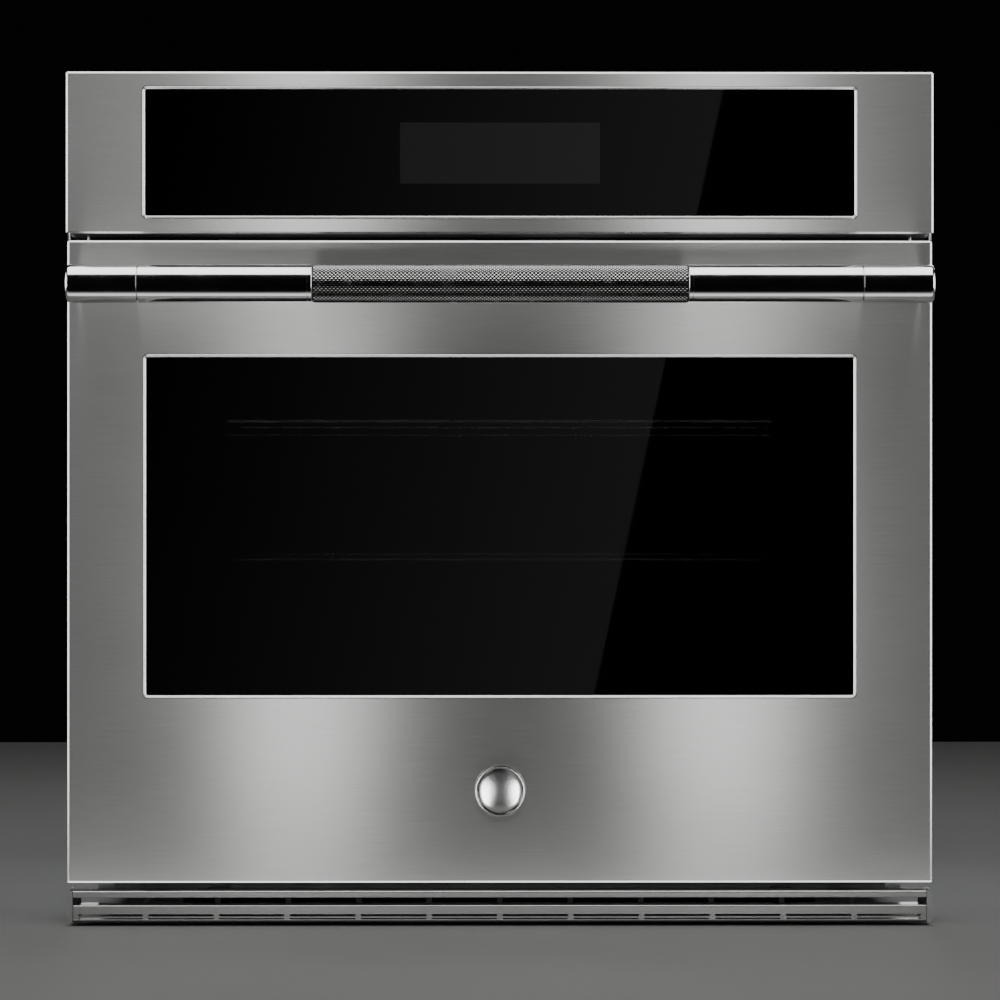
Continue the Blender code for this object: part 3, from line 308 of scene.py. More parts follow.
def placed(name, data):
    item = bpy.data.objects.new(name, data)
    bpy.context.scene.collection.objects.link(item)
    return item


def asMesh(name, bm):
    mesh = bpy.data.meshes.new(name)
    bm.to_mesh(mesh)
    bm.free()
    return mesh


def fromMesh(mesh, weld=0.0):
    bm = bmesh.new()
    bm.from_mesh(mesh)
    if weld:
        bmesh.ops.remove_doubles(bm, verts=bm.verts, dist=weld)
    return bm


def finishMesh(name, bm, materials, smoothAngle=35.0, recalc=True):
    bmesh.ops.remove_doubles(bm, verts=bm.verts, dist=weldDistance)
    if recalc:
        bmesh.ops.recalc_face_normals(bm, faces=bm.faces)
    mesh = asMesh(name, bm)
    for material in materials:
        mesh.materials.append(material)
    mesh.shade_smooth()
    mesh.set_sharp_from_angle(angle=math.radians(smoothAngle))
    for face in mesh.polygons:
        if face.area > broadFace:
            face.use_smooth = False  # broad flat faces keep their own normal
    return placed(name, mesh)


def settle(piece, body, slotName, *replaced):
    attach(piece, body)
    if replaced:
        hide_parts(*replaced)
    return piece


def baked(name, holder, materials=None, smoothAngle=35.0):
    # turns an object with live modifiers into a plain mesh piece
    bpy.context.view_layer.update()
    graph = bpy.context.evaluated_depsgraph_get()
    mesh = bpy.data.meshes.new_from_object(holder.evaluated_get(graph))
    bpy.data.objects.remove(holder, do_unlink=True)
    bm = fromMesh(mesh)
    found = materials or list(mesh.materials)
    bpy.data.meshes.remove(mesh)
    return finishMesh(name, bm, found, smoothAngle)


def boolean(holder, operation, other):
    change = holder.modifiers.new(operation.lower(), "BOOLEAN")
    change.operation = operation
    change.solver = "EXACT"
    change.object = other


def inOut(low, high, side):
    # the x nearer the oven's middle, then the outer one
    return (high.x, low.x) if side < 0 else (low.x, high.x)


def lathe(points, segments, axis, place, closed=False):
    # points are (along the axis, radius); the shape is spun about the axis through place
    bm = bmesh.new()
    rings = []
    for along, radius in points:
        if radius < 1e-7:
            rings.append([bm.verts.new((0, 0, along))])
            continue
        ring = []
        for step in range(segments):
            angle = tau * step / segments
            ring.append(bm.verts.new((radius * math.cos(angle), radius * math.sin(angle), along)))
        rings.append(ring)
    pairs = list(zip(rings, rings[1:]))
    if closed:
        pairs.append((rings[-1], rings[0]))
    for first, second in pairs:
        for step in range(segments):
            corners = []
            for ring, mark in ((first, step), (first, step + 1), (second, step + 1), (second, step)):
                vert = ring[mark % len(ring)]
                if vert not in corners:
                    corners.append(vert)
            if len(corners) > 2:
                bm.faces.new(corners)
    turn = {"X": Matrix.Rotation(math.pi / 2, 4, "Y"), "Y": Matrix.Rotation(-math.pi / 2, 4, "X"),
            "Z": Matrix.Identity(4)}[axis]
    bmesh.ops.transform(bm, matrix=Matrix.Translation(place) @ turn, verts=bm.verts)
    return bm


def roundedOutline(corners, steps=5):
    # corners are (u, v, radius); returns the outline with its corners turned into arcs
    outline = []
    for index, (u, v, radius) in enumerate(corners):
        here = Vector((u, v))
        before = Vector(corners[index - 1][:2]) - here
        after = Vector(corners[(index + 1) % len(corners)][:2]) - here
        if radius <= 0:
            outline.append(here)
            continue
        half = before.angle(after) / 2
        reach = radius / math.tan(half)
        start = here + before.normalized() * reach
        end = here + after.normalized() * reach
        centre = here + (before.normalized() + after.normalized()).normalized() * radius / math.sin(half)
        first = start - centre
        second = end - centre
        sweep = first.angle_signed(second)
        for step in range(steps + 1):
            turned = first.copy()
            turned.rotate(Matrix.Rotation(-sweep * step / steps, 2))
            outline.append(centre + turned)
    return outline
def roundedRect(uStart, vStart, uEnd, vEnd, corner, steps=5):
    return roundedOutline([(uStart, vStart, corner), (uEnd, vStart, corner), (uEnd, vEnd, corner),
                           (uStart, vEnd, corner)], steps)
def extruded(outline, axis, low, high):
    # a prism: (u, v) become (y, z) for axis X, (x, z) for axis Y and (x, y) for axis Z
    bm = bmesh.new()
    ends = []
    for along in (low, high):
        ring = []
        for u, v in outline:
            place = {"X": (along, u, v), "Y": (u, along, v), "Z": (u, v, along)}[axis]
            ring.append(bm.verts.new(place))
        ends.append(ring)
    count = len(outline)
    for step in range(count):
        after = (step + 1) % count
        bm.faces.new((ends[0][step], ends[0][after], ends[1][after], ends[1][step]))
    bm.faces.new(ends[0])
    bm.faces.new(list(reversed(ends[1])))
    bmesh.ops.recalc_face_normals(bm, faces=bm.faces)
    return bm


def merge(target, *others):
    for other in others:
        mesh = asMesh("part", other)
        target.from_mesh(mesh)
        bpy.data.meshes.remove(mesh)
    return target


def slab(low, high, corner, chamfer, axis="Y", steps=6):
    # a plate with rounded corners in its plane and a small chamfer round both faces
    u, v, w = {"X": (1, 2, 0), "Y": (0, 2, 1), "Z": (0, 1, 2)}[axis]
    bm = extruded(roundedRect(low[u], low[v], high[u], high[v], corner, steps), axis, low[w], high[w])
    rims = []
    for edge in bm.edges:
        if abs(edge.verts[0].co[w] - edge.verts[1].co[w]) < 1e-7:
            rims.append(edge)
    bmesh.ops.bevel(bm, geom=rims, offset=chamfer, segments=2, profile=0.6, affect="EDGES", material=0)
    return bm


def frameSweep(profile, half, low, high, y, corner, steps=8, mapped=None):
    # a closed ring round a rectangle; profile points are (outwards, forwards)
    bm = bmesh.new()
    path = []
    for x, z, quarter in ((half, high, 0), (-half, high, 1), (-half, low, 2), (half, low, 3)):
        centreX = x - math.copysign(corner, x)
        centreZ = z - corner if z == high else z + corner
        for step in range(steps + 1):
            angle = math.pi / 2 * (quarter + step / steps)
            path.append((centreX, centreZ, math.cos(angle), math.sin(angle)))
    if mapped:
        path = densePath(path, corner, mapped)
    rings = []
    for centreX, centreZ, outX, outZ in path:
        ring = []
        for out, front in profile:
            reach = corner + out
            ring.append(bm.verts.new((centreX + outX * reach, y - front, centreZ + outZ * reach)))
        rings.append(ring)
    layer = bm.loops.layers.uv.new("UVMap") if mapped else None
    count = len(profile)
    for index in range(len(rings)):
        ring = rings[index]
        following = rings[(index + 1) % len(rings)]
        for step in range(count):
            after = (step + 1) % count
            face = bm.faces.new((ring[step], ring[after], following[after], following[step]))
            if layer:
                marks = ((index, step), (index, step + 1), (index + 1, step + 1), (index + 1, step))
                for loop, (along, around) in zip(face.loops, marks):
                    loop[layer].uv = (along * 0.25, around * 2.0 / count)
    return bm


def densePath(path, corner, spacing):
    # adds stations along the straight runs so that a pattern keeps its scale
    dense = []
    for index, item in enumerate(path):
        dense.append(item)
        following = path[(index + 1) % len(path)]
        here = Vector((item[0] + item[2] * corner, item[1] + item[3] * corner))
        there = Vector((following[0] + following[2] * corner, following[1] + following[3] * corner))
        extra = int((there - here).length / spacing)
        for step in range(1, extra):
            share = step / extra
            dense.append(tuple(a + (b - a) * share for a, b in zip(item, following)))
    return dense


# ---- geometry node trees

def newTree(name, inputs):
    tree = bpy.data.node_groups.new(name, "GeometryNodeTree")
    for label, kind in {"Geometry": "Geometry", **inputs, "Finish": "Material"}.items():
        tree.interface.new_socket(name=label, in_out="INPUT", socket_type="NodeSocket" + kind)
    tree.interface.new_socket(name="Geometry", in_out="OUTPUT", socket_type="NodeSocketGeometry")
    return tree, tree.nodes.new("NodeGroupInput").outputs


def closeTree(tree, geometry, finish):
    real = addNode(tree, "GeometryNodeRealizeInstances", {"Geometry": geometry})
    addNode(tree, "NodeGroupOutput",
            {0: addNode(tree, "GeometryNodeSetMaterial", {"Geometry": real, "Material": finish})})
    return tree


def runTree(name, tree, mesh, values, smoothAngle=35.0):
    # applies a tree to a base mesh and returns a plain mesh piece
    holder = placed(name + "Base", mesh)
    modifier = holder.modifiers.new("nodes", "NODES")
    modifier.node_group = tree
    for item in tree.interface.items_tree:
        if item.in_out == "INPUT" and item.name in values:
            modifier[item.identifier] = values[item.name]
    return baked(name, holder, smoothAngle=smoothAngle)


def makeWireRowTree():
    # one path of edges becomes a wire, and the wire is repeated in a row
    tree, ask = newTree("wireRow", {"Count": "Int", "Step": "Vector", "Radius": "Float", "Sides": "Int"})
    path = addNode(tree, "GeometryNodeMeshToCurve", {"Mesh": ask["Geometry"]})
    ring = addNode(tree, "GeometryNodeCurvePrimitiveCircle",
                   {"Resolution": ask["Sides"], "Radius": ask["Radius"]})
    tube = addNode(tree, "GeometryNodeCurveToMesh", {"Curve": path, "Profile Curve": ring, "Fill Caps": True})
    row = addNode(tree, "GeometryNodeMeshLine", {"Count": ask["Count"], "Offset": ask["Step"]})
    copies = addNode(tree, "GeometryNodeInstanceOnPoints", {"Points": row, "Instance": tube})
    return closeTree(tree, copies, ask["Finish"])


def makeScatterTree():
    # a small part is copied to each point and turned to the point's aim
    tree, ask = newTree("placeCopies", {"Part": "Object", "Size": "Float"})
    aim = addNode(tree, "GeometryNodeInputNamedAttribute", {"Name": "aim"}, data_type="FLOAT_VECTOR")
    turn = addNode(tree, "FunctionNodeAlignRotationToVector", {"Vector": aim}, axis="Z")
    part = addNode(tree, "GeometryNodeObjectInfo", {"Object": ask["Part"]})
    size = addNode(tree, "ShaderNodeCombineXYZ", {0: ask["Size"], 1: ask["Size"], 2: ask["Size"]})
    copies = addNode(tree, "GeometryNodeInstanceOnPoints",
                     {"Points": ask["Geometry"], "Instance": part.outputs["Geometry"], "Rotation": turn,
                      "Scale": size})
    return closeTree(tree, copies, ask["Finish"])


def makeKnurlTree():
    # a tube whose vertices rise and sink in turn, which leaves rows of small pyramids
    tree, ask = newTree("knurl", {"Length": "Float", "Radius": "Float", "Depth": "Float", "Along": "Int",
                                  "Around": "Int"})

    def work(operation, first, second=0.0):
        return calc(tree, operation, first, second)

    grid = addNode(tree, "GeometryNodeMeshGrid",
                   {"Size X": ask["Length"], "Size Y": 1.0, "Vertices X": work("ADD", ask["Along"], 1.0),
                    "Vertices Y": work("ADD", ask["Around"], 1.0)})
    place = addNode(tree, "ShaderNodeSeparateXYZ", {0: addNode(tree, "GeometryNodeInputPosition")})
    x, y = place.outputs[0], place.outputs[1]
    share = work("ADD", work("DIVIDE", x, ask["Length"]), 0.5)
    column = work("ROUND", work("MULTIPLY", share, ask["Along"]))
    row = work("ROUND", work("MULTIPLY", work("ADD", y, 0.5), ask["Around"]))
    odd = work("MODULO", work("ADD", column, row), 2.0)
    lastColumn = work("SUBTRACT", ask["Along"], 0.5)
    atEnd = work("ADD", work("LESS_THAN", column, 0.5), work("GREATER_THAN", column, lastColumn))
    sunk = work("MAXIMUM", odd, atEnd)
    radius = work("SUBTRACT", ask["Radius"], work("MULTIPLY", sunk, ask["Depth"]))
    angle = work("MULTIPLY", y, tau)
    shaped = addNode(tree, "ShaderNodeCombineXYZ", {0: x, 1: work("MULTIPLY", radius, work("COSINE", angle)),
                                                    2: work("MULTIPLY", radius, work("SINE", angle))})
    skin = addNode(tree, "GeometryNodeSetPosition", {"Geometry": grid, "Position": shaped})
    endRadius = work("SUBTRACT", ask["Radius"], ask["Depth"])
    lid = addNode(tree, "GeometryNodeMeshCircle", {"Vertices": ask["Around"], "Radius": endRadius},
                  fill_type="NGON")
    parts = [skin.outputs[0]]
    for side in (-0.5, 0.5):
        shift = addNode(tree, "ShaderNodeCombineXYZ", {0: work("MULTIPLY", ask["Length"], side)})
        moved = addNode(tree, "GeometryNodeTransform",
                        {"Geometry": lid, "Translation": shift, "Rotation": (math.pi / 2, 0, math.pi / 2)})
        parts.append(moved.outputs[0])
    whole = addNode(tree, "GeometryNodeJoinGeometry")
    for part in parts:
        tree.links.new(part, whole.inputs[0])
    welded = addNode(tree, "GeometryNodeMergeByDistance", {"Geometry": whole, "Distance": 0.00002})
    return closeTree(tree, welded, ask["Finish"])


wireRow = makeWireRowTree()
placeCopies = makeScatterTree()
knurl = makeKnurlTree()


def pathMesh(runs, cyclic=False):
    mesh = bpy.data.meshes.new("path")
    points = []
    edges = []
    for run in runs:
        first = len(points)
        points += [tuple(point) for point in run]
        edges += [(first + step, first + step + 1) for step in range(len(run) - 1)]
        if cyclic:
            edges.append((first + len(run) - 1, first))
    mesh.from_pydata(points, edges, [])
    return mesh


def wires(name, runs, radius, material, count=1, step=(0, 0, 0), sides=10, cyclic=False):
    return runTree(name, wireRow, pathMesh(runs, cyclic),
                   {"Count": count, "Step": step, "Radius": radius, "Sides": sides, "Finish": material}, 60)


def scatter(name, part, spots, material, size=1.0):
    # spots are (place, aim) pairs
    mesh = bpy.data.meshes.new("spots")
    mesh.from_pydata([tuple(place) for place, _ in spots], [], [])
    aims = mesh.attributes.new("aim", "FLOAT_VECTOR", "POINT")
    for item, (_, aim) in zip(aims.data, spots):
        item.vector = aim
    return runTree(name, placeCopies, mesh, {"Part": part, "Size": size, "Finish": material})


def helperObject(name, bm, material):
    piece = finishMesh(name, bm, [material])
    piece.hide_render = True
    return piece


print("stage: node trees made")


# ---- door skin and control fascia: folded trays whose chamfered edges are bright by polish and by painted highlight

trayLook = {"edge": 0.0015, "fall": 0.0008, "corner": 0.0012, "sheet": 0.0012, "holeCorner": 0.004,
            "holeGap": 0.0003, "holeReach": 0.01, "notchHalf": 0.011, "notchHeight": 0.0277,
            "tabInsets": (0.0036, 0.0016)}


def steelTray(name, nodeName, holeNode, look, notches=(), tabs=()):
    low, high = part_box(nodeName)
    bm = bmesh.new()
    rings = []
    for y, inset in ((high.y, 0.0), (low.y + look["fall"], 0.0), (low.y, look["edge"])):
        corner = max(look["corner"] - inset * 0.5, 0.0003)
        outline = roundedRect(low.x + inset, low.z + inset, high.x - inset, high.z - inset, corner, 4)
        rings.append([bm.verts.new((u, y, v)) for u, v in outline])
    for index, (outer, inner) in enumerate(zip(rings, rings[1:])):
        for step in range(len(outer)):
            after = (step + 1) % len(outer)
            face = bm.faces.new((outer[step], outer[after], inner[after], inner[step]))
            # the front chamfer ring takes the second material, the edge steel, whose brighter colour is a
            # painted highlight
            face.material_index = index
    bm.faces.new(rings[-1])
    bmesh.ops.recalc_face_normals(bm, faces=bm.faces)
    if bm.faces[-1].normal.y > 0:
        bmesh.ops.reverse_faces(bm, faces=bm.faces)
    mesh = asMesh(name, bm)
    mesh.materials.append(brushedSteel)
    mesh.materials.append(edgeSteelPaintedHighlight)
    holder = placed(name + "Holder", mesh)
    wall = holder.modifiers.new("wall", "SOLIDIFY")
    wall.thickness = look["sheet"]
    wall.offset = -1.0
    wall.use_even_offset = True
    gap, reach = look["holeGap"], look["holeReach"]
    holeLow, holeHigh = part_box(holeNode)
    cutters = [slab((holeLow.x - gap, low.y - reach, holeLow.z - gap),
                    (holeHigh.x + gap, low.y + reach, holeHigh.z + gap), look["holeCorner"], 0.0001)]
    cutters += [slab(*span, 0.001, 0.0001) for span in notches]
    helpers = []
    # the tabs are joined in the edge steel, whose brighter colour is a painted highlight
    for operation, shapes, material in (("DIFFERENCE", cutters, brushedSteel),
                                        ("UNION", [slab(*span, 0.0004, 0.0002) for span in tabs], edgeSteelPaintedHighlight)):
        for index, shape in enumerate(shapes):
            helpers.append(finishMesh(name + operation.title() + str(index), shape, [material]))
            boolean(holder, operation, helpers[-1])
    piece = baked(name, holder, [brushedSteel, edgeSteelPaintedHighlight], 20.0)
    for helper in helpers:
        bpy.data.objects.remove(helper, do_unlink=True)
    return piece


doorLow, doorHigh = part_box("door_skin")
armNotches = []
for side in ("left", "right"):
    armLow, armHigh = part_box("hinge_arm_" + side)
    middleX = (armLow.x + armHigh.x) / 2
    half = trayLook["notchHalf"]
    armNotches.append(((middleX - half, doorLow.y + 0.0022, doorLow.z - 0.008),
                       (middleX + half, doorHigh.y + 0.01, doorLow.z + trayLook["notchHeight"])))
doorSkin = steelTray("doorSkin", "door_skin", "window_bezel", trayLook, armNotches)
settle(doorSkin, "door", "brushed_steel", "door_skin")
fasciaLow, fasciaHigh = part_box("control_fascia")
tabs = []
for side in (-1, 1):
    near, far = sorted(side * (fasciaHigh.x - inset) for inset in trayLook["tabInsets"])
    tabs.append(((near, fasciaLow.y + 0.0006, doorHigh.z + 0.0006),
                 (far, fasciaLow.y + 0.0080, fasciaLow.z + 0.0007)))
fascia = steelTray("controlFascia", "control_fascia", "control_bezel", trayLook, tabs=tabs)
settle(fascia, "root", "brushed_steel", "control_fascia")
print("stage: steel panels made")


# ---- bezels and glass

bezelLook = {"border": 0.0024, "corner": 0.0045, "rise": 0.0009, "flat": 0.0004}


def bezel(name, nodeName, body, look):
    low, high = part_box(nodeName)
    deep = high.y - low.y
    wide = look["border"]
    crest = (wide - look["flat"]) / 2
    profile = [(0.0, -deep), (0.0, -look["rise"]), (-crest, 0.0), (crest - wide, 0.0), (-wide, -look["rise"]),
               (-wide, -deep)]
    bm = frameSweep(profile, high.x, low.z, high.z, low.y, look["corner"])
    # the whole bezel is the edge steel, bright partly by polish and partly by painted highlight
    piece = finishMesh(name, bm, [edgeSteelPaintedHighlight], 20.0)
    return settle(piece, body, "polished_steel", nodeName)


bezel("windowBezel", "window_bezel", "door", bezelLook)
bezel("controlBezel", "control_bezel", "root", bezelLook)

glassLook = {"windowCorner": 0.0032, "controlCorner": 0.0024, "innerCorner": 0.006, "chamfer": 0.0004}


def pane(name, nodeName, body, corner, material, slotName):
    plate = slab(*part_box(nodeName), glassLook[corner], glassLook["chamfer"])
    piece = finishMesh(name, plate, [material], 20.0)
    return settle(piece, body, slotName, nodeName)


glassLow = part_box("control_glass")[0]
displayLook = {"halfWidth": 0.0878, "foot": 0.0282, "height": 0.0536}
displayFoot = glassLow.z + displayLook["foot"]
displayRegion = ((-displayLook["halfWidth"], 0, displayFoot),
                 (displayLook["halfWidth"], 0, displayFoot + displayLook["height"]))
panelGlass = makePanelGlass(displayRegion)
pane("controlGlass", "control_glass", "root", "controlCorner", panelGlass, "black_glass")
pane("windowPane", "window_glass", "door", "windowCorner", windowGlass, "black_glass")
pane("middlePane", "middle_glass", "door", "innerCorner", clearGlass, "clear_glass")
pane("innerPane", "inner_glass", "door", "innerCorner", clearGlass, "clear_glass")
print("stage: glass made")


# ---- handle

handleLook = {"segments": 96, "grooveDepth": 0.0006, "grooveWidth": 0.0009, "edge": 0.0005,
              "knurlPitch": 0.0017, "knurlDepth": 0.00042, "endDome": 0.0042, "endFall": 0.0028,
              "stemCorner": 0.004, "stemInset": 0.005, "stemHalf": 0.0125}
barLow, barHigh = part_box("handle_bar")
gripLow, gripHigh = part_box("handle_grip")
axisY = (barLow.y + barHigh.y) / 2
axisZ = (barLow.z + barHigh.z) / 2
barRadius = (gripHigh.z - gripLow.z) / 2
gripHalf = gripHigh.x + 0.0003


def handleBar(look):
    edge = look["edge"]
    groove = gripHalf + 0.0034
    wide = look["grooveWidth"]
    half = [(barHigh.x, 0.010), (barHigh.x, barRadius - edge), (barHigh.x - edge, barRadius),
            (groove + wide, barRadius), (groove + wide * 0.7, barRadius - look["grooveDepth"]),
            (groove + wide * 0.3, barRadius - look["grooveDepth"]), (groove, barRadius),
            (gripHalf + edge, barRadius), (gripHalf, barRadius - edge), (gripHalf, 0.0125)]
    profile = half + [(-along, radius) for along, radius in reversed(half)]
    bm = lathe(profile, look["segments"], "X", (0, axisY, axisZ), closed=True)
    return settle(finishMesh("handleBar", bm, [polishedSteel], 30.0), "door", "polished_steel", "handle_bar")


def handleGrip(look):
    length = 2 * (gripHalf - 0.0003)
    along = 2 * round(length / look["knurlPitch"] / 2)
    around = 2 * round(tau * barRadius / look["knurlPitch"] / 2)
    finish = makeKnurlSteel((0, axisY, axisZ), barRadius, look["knurlDepth"])
    piece = runTree("handleGrip", knurl, pathMesh([]),
                    {"Length": length, "Radius": barRadius, "Depth": look["knurlDepth"], "Along": along,
                     "Around": around, "Finish": finish}, 4.0)
    bm = fromMesh(piece.data)
    bmesh.ops.triangulate(bm, faces=bm.faces, quad_method="SHORT_EDGE")  # each raised point becomes a pyramid
    bm.to_mesh(piece.data)
    bm.free()
    piece.data.set_sharp_from_angle(angle=math.radians(4.0))
    piece.data.transform(Matrix.Translation((0, axisY, axisZ)))
    return settle(piece, "door", "brushed_steel", "handle_grip")


def handleEnd(side, look):
    nodeName = "handle_bracket_" + sideNames[side]
    low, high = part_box(nodeName)
    inner, outer = inOut(low, high, side)
    edge = look["edge"]
    profile = [(inner, 0.0), (inner, barRadius - edge), (inner + side * edge, barRadius)]
    for step in range(7):
        angle = math.pi / 2 * step / 6
        profile.append((outer - side * look["endDome"] * (1 - math.sin(angle) * 0.9),
                        barRadius - look["endFall"] * (1 - math.cos(angle))))
    profile += [(outer - side * 0.0002, barRadius * 0.5), (outer, 0.0)]
    knob = lathe(profile, look["segments"], "X", (0, axisY, axisZ))
    knob = finishMesh(nodeName + "Knob", knob, [polishedSteel])
    near, far = sorted((inner + side * look["stemInset"], outer - side * look["stemInset"]))
    half = look["stemHalf"]
    stem = slab((near, axisY, axisZ - half), (far, high.y, axisZ + half), look["stemCorner"], 0.0004)
    stem = finishMesh(nodeName + "Stem", stem, [polishedSteel])
    boolean(knob, "UNION", stem)
    piece = baked("handleEnd" + sideNames[side].title(), knob, [polishedSteel], 30.0)
    bpy.data.objects.remove(stem, do_unlink=True)
    return settle(piece, "door", "polished_steel", nodeName)


handleBar(handleLook)
handleGrip(handleLook)
for side in (-1, 1):
    handleEnd(side, handleLook)
print("stage: handle made")


# ---- side trims and a plain round badge

flangeLook = {"bead": 0.0011}


def sideTrim(side, look):
    name = sideNames[side]
    low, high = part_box("side_trim_" + name)
    inner, outer = inOut(low, high, side)
    bead = look["bead"]
    outline = [(inner, high.y), (outer, high.y), (outer, low.y), (inner + side * bead * 2.2, low.y)]
    for step in range(9):
        angle = math.pi * step / 8
        outline.append((inner + side * bead * (1 + math.cos(angle)), low.y - bead * math.sin(angle)))
    bm = extruded(outline, "Z", low.z, high.z)
    piece = finishMesh("sideTrim" + name.title(), bm, [blackPaint, edgeSteelPaintedHighlight], 40.0)
    for face in piece.data.polygons:
        if face.center.y < low.y - 0.00005:
            face.material_index = 1  # the bead takes the edge steel, bright partly by polish and partly by painted highlight
    return settle(piece, "root", "dark_paint", "side_trim_" + name)


for side in (-1, 1):
    sideTrim(side, flangeLook)

badgeLook = {"segments": 96, "ringWidth": 0.0026}


def makeBadge(look):
    low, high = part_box("badge")
    radius = (high.x - low.x) / 2
    front = high.y - low.y
    ring = look["ringWidth"]
    points = [(0.0, 0.0), (0.0, radius - 0.0004), (front * 0.3, radius), (front * 0.8, radius)]
    for step in range(7):
        angle = math.pi * step / 6
        points.append((front * 0.8 + front * 0.2 * math.sin(angle),
                       radius - ring / 2 * (1 - math.cos(angle))))
    points += [(front * 0.45, radius - ring - 0.0006), (front * 0.5, radius - ring - 0.0012)]
    for step in range(1, 7):
        share = step / 6
        crown = front * (0.5 + 0.35 * math.sin(share * math.pi / 2))
        points.append((crown, (radius - ring - 0.0012) * (1 - share)))
    bm = lathe([(-along, reach) for along, reach in points], look["segments"], "Y",
               ((low.x + high.x) / 2, high.y, (low.z + high.z) / 2))
    return settle(finishMesh("badgeDisc", bm, [polishedSteel], 25.0), "door", "polished_steel", "badge")


makeBadge(badgeLook)


# ---- vent trim under the door

trimLook = {"groups": 12, "rib": 0.005, "pitch": 0.0623, "topRail": 0.0062, "lowerTop": 0.0178,
            "lowerFace": 0.0099, "middleBar": (0.0065, 0.0081), "barDepth": 0.006, "sill": (0.0026, 0.0053),
            "round": 0.0012, "depth": 0.021, "fine": 0.0002, "armX": 0.25, "armHalf": 0.010,
            "armHeights": (0.0248, 0.0288), "ribDepth": 0.018, "postHalf": 0.0045, "postDepth": 0.0030}


def ventTrim(look):
    low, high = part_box("vent_trim")
    front = low.y
    back = front + look["depth"]
    corner, fine = look["round"], look["fine"]
    top = high.z
    under = top - look["topRail"]
    foot, head = look["sill"]
    half = look["rib"] / 2
    rails = [([(back, top, 0), (front, top, corner * 1.6), (front, under, corner * 0.5),
               (back, under, 0)], 0.0),
             ([(back, look["lowerTop"], 0), (front, look["lowerTop"], corner),
               (front, look["lowerFace"], fine), (back, look["lowerFace"], 0)], 0.0001),
             ([(back, head, 0), (front + 0.0001, head, 0.0003), (front + 0.0009, head - 0.0014, 0.0004),
               (front + 0.0055, foot - 0.0004, 0.001), (back, foot - 0.0004, 0)], 0.0002)]
    rails = [extruded(roundedOutline(corners), "X", low.x + inset, high.x - inset)
             for corners, inset in rails]
    barFoot, barTop = look["middleBar"]
    bar = extruded(roundedRect(front + look["barDepth"], barTop, front + 0.0001, barFoot, fine, 2),
                   "X", low.x + 0.0002, high.x - 0.0002)
    arms = []
    for x in (-look["armX"], look["armX"]):
        armFoot, armTop = look["armHeights"]
        outline = roundedRect(x - look["armHalf"], armFoot, x + look["armHalf"], armTop, 0.001, 2)
        arms.append(extruded(outline, "Y", back - 0.001, high.y))
    whole = merge(rails[0], rails[1], bar, rails[2], *arms)
    piece = finishMesh("ventTrim", whole, [trimSteel, edgeSteelPaintedHighlight], 25.0, recalc=False)
    for face in piece.data.polygons:
        if face.normal.z > 0.3 and face.normal.y < -0.3:
            face.material_index = 1  # the rails' rounded upper edges, the faces turned up and forward, take the edge steel: polish plus a painted highlight on the tops
    settle(piece, "root", "brushed_steel", "vent_trim")
    middle = (head + look["lowerFace"]) / 2
    reach = (look["lowerFace"] - head) / 2 + 0.0005
    post = look["postHalf"]
    rib = helperObject("ribPart", extruded(roundedRect(-half, -reach, half, reach, fine, 2), "Y", 0.0,
                                           look["ribDepth"]), trimSteel)
    post = helperObject("postPart", extruded(roundedRect(-half, -post, half, post, fine, 2), "Y", 0.0,
                                             look["postDepth"]), blackPaint)
    ribs = []
    posts = []
    for index in range(look["groups"] + 1):
        x = look["pitch"] * (index - look["groups"] / 2)
        x = max(low.x + half, min(high.x - half, x))
        ribs.append(((x, front + 0.0004, middle), (0, 0, 1)))
        posts.append(((x, back - 0.0032, (under + look["lowerTop"]) / 2), (0, 0, 1)))
    settle(scatter("ventRibs", rib, ribs, trimSteel), "root", "brushed_steel")
    settle(scatter("ventPosts", post, posts, blackPaint), "root", "dark_paint")
    for helper in (rib, post):
        bpy.data.objects.remove(helper, do_unlink=True)
    for side, name in sideNames.items():
        low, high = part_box("vent_cap_" + name)
        inner, outer = inOut(low, high, side)
        shape = [(inner, low.z, 0.0006), (outer, low.z, 0.0036), (outer, high.z - 0.0016, 0.0010),
                 (outer - side * 0.0016, high.z, 0.0004), (inner, high.z - 0.0014, 0.0004)]
        cap = extruded(roundedOutline(shape), "Y", low.y, high.y)
        cap = finishMesh("ventCap" + name.title(), cap, [trimSteel], 30.0)
        settle(cap, "root", "polished_steel", "vent_cap_" + name)


ventTrim(trimLook)
print("stage: vent trim made")


# ---- racks and their guides

rackLook = {"frameRadius": 0.0030, "corner": 0.012, "deckRadius": 0.0017, "pitch": 0.0405, "wires": 13,
            "lipRadius": 0.0022, "lipDrop": 0.0120, "lipOverhang": 0.018, "bend": 0.006, "braces": 3,
            "braceDrop": 0.0030}


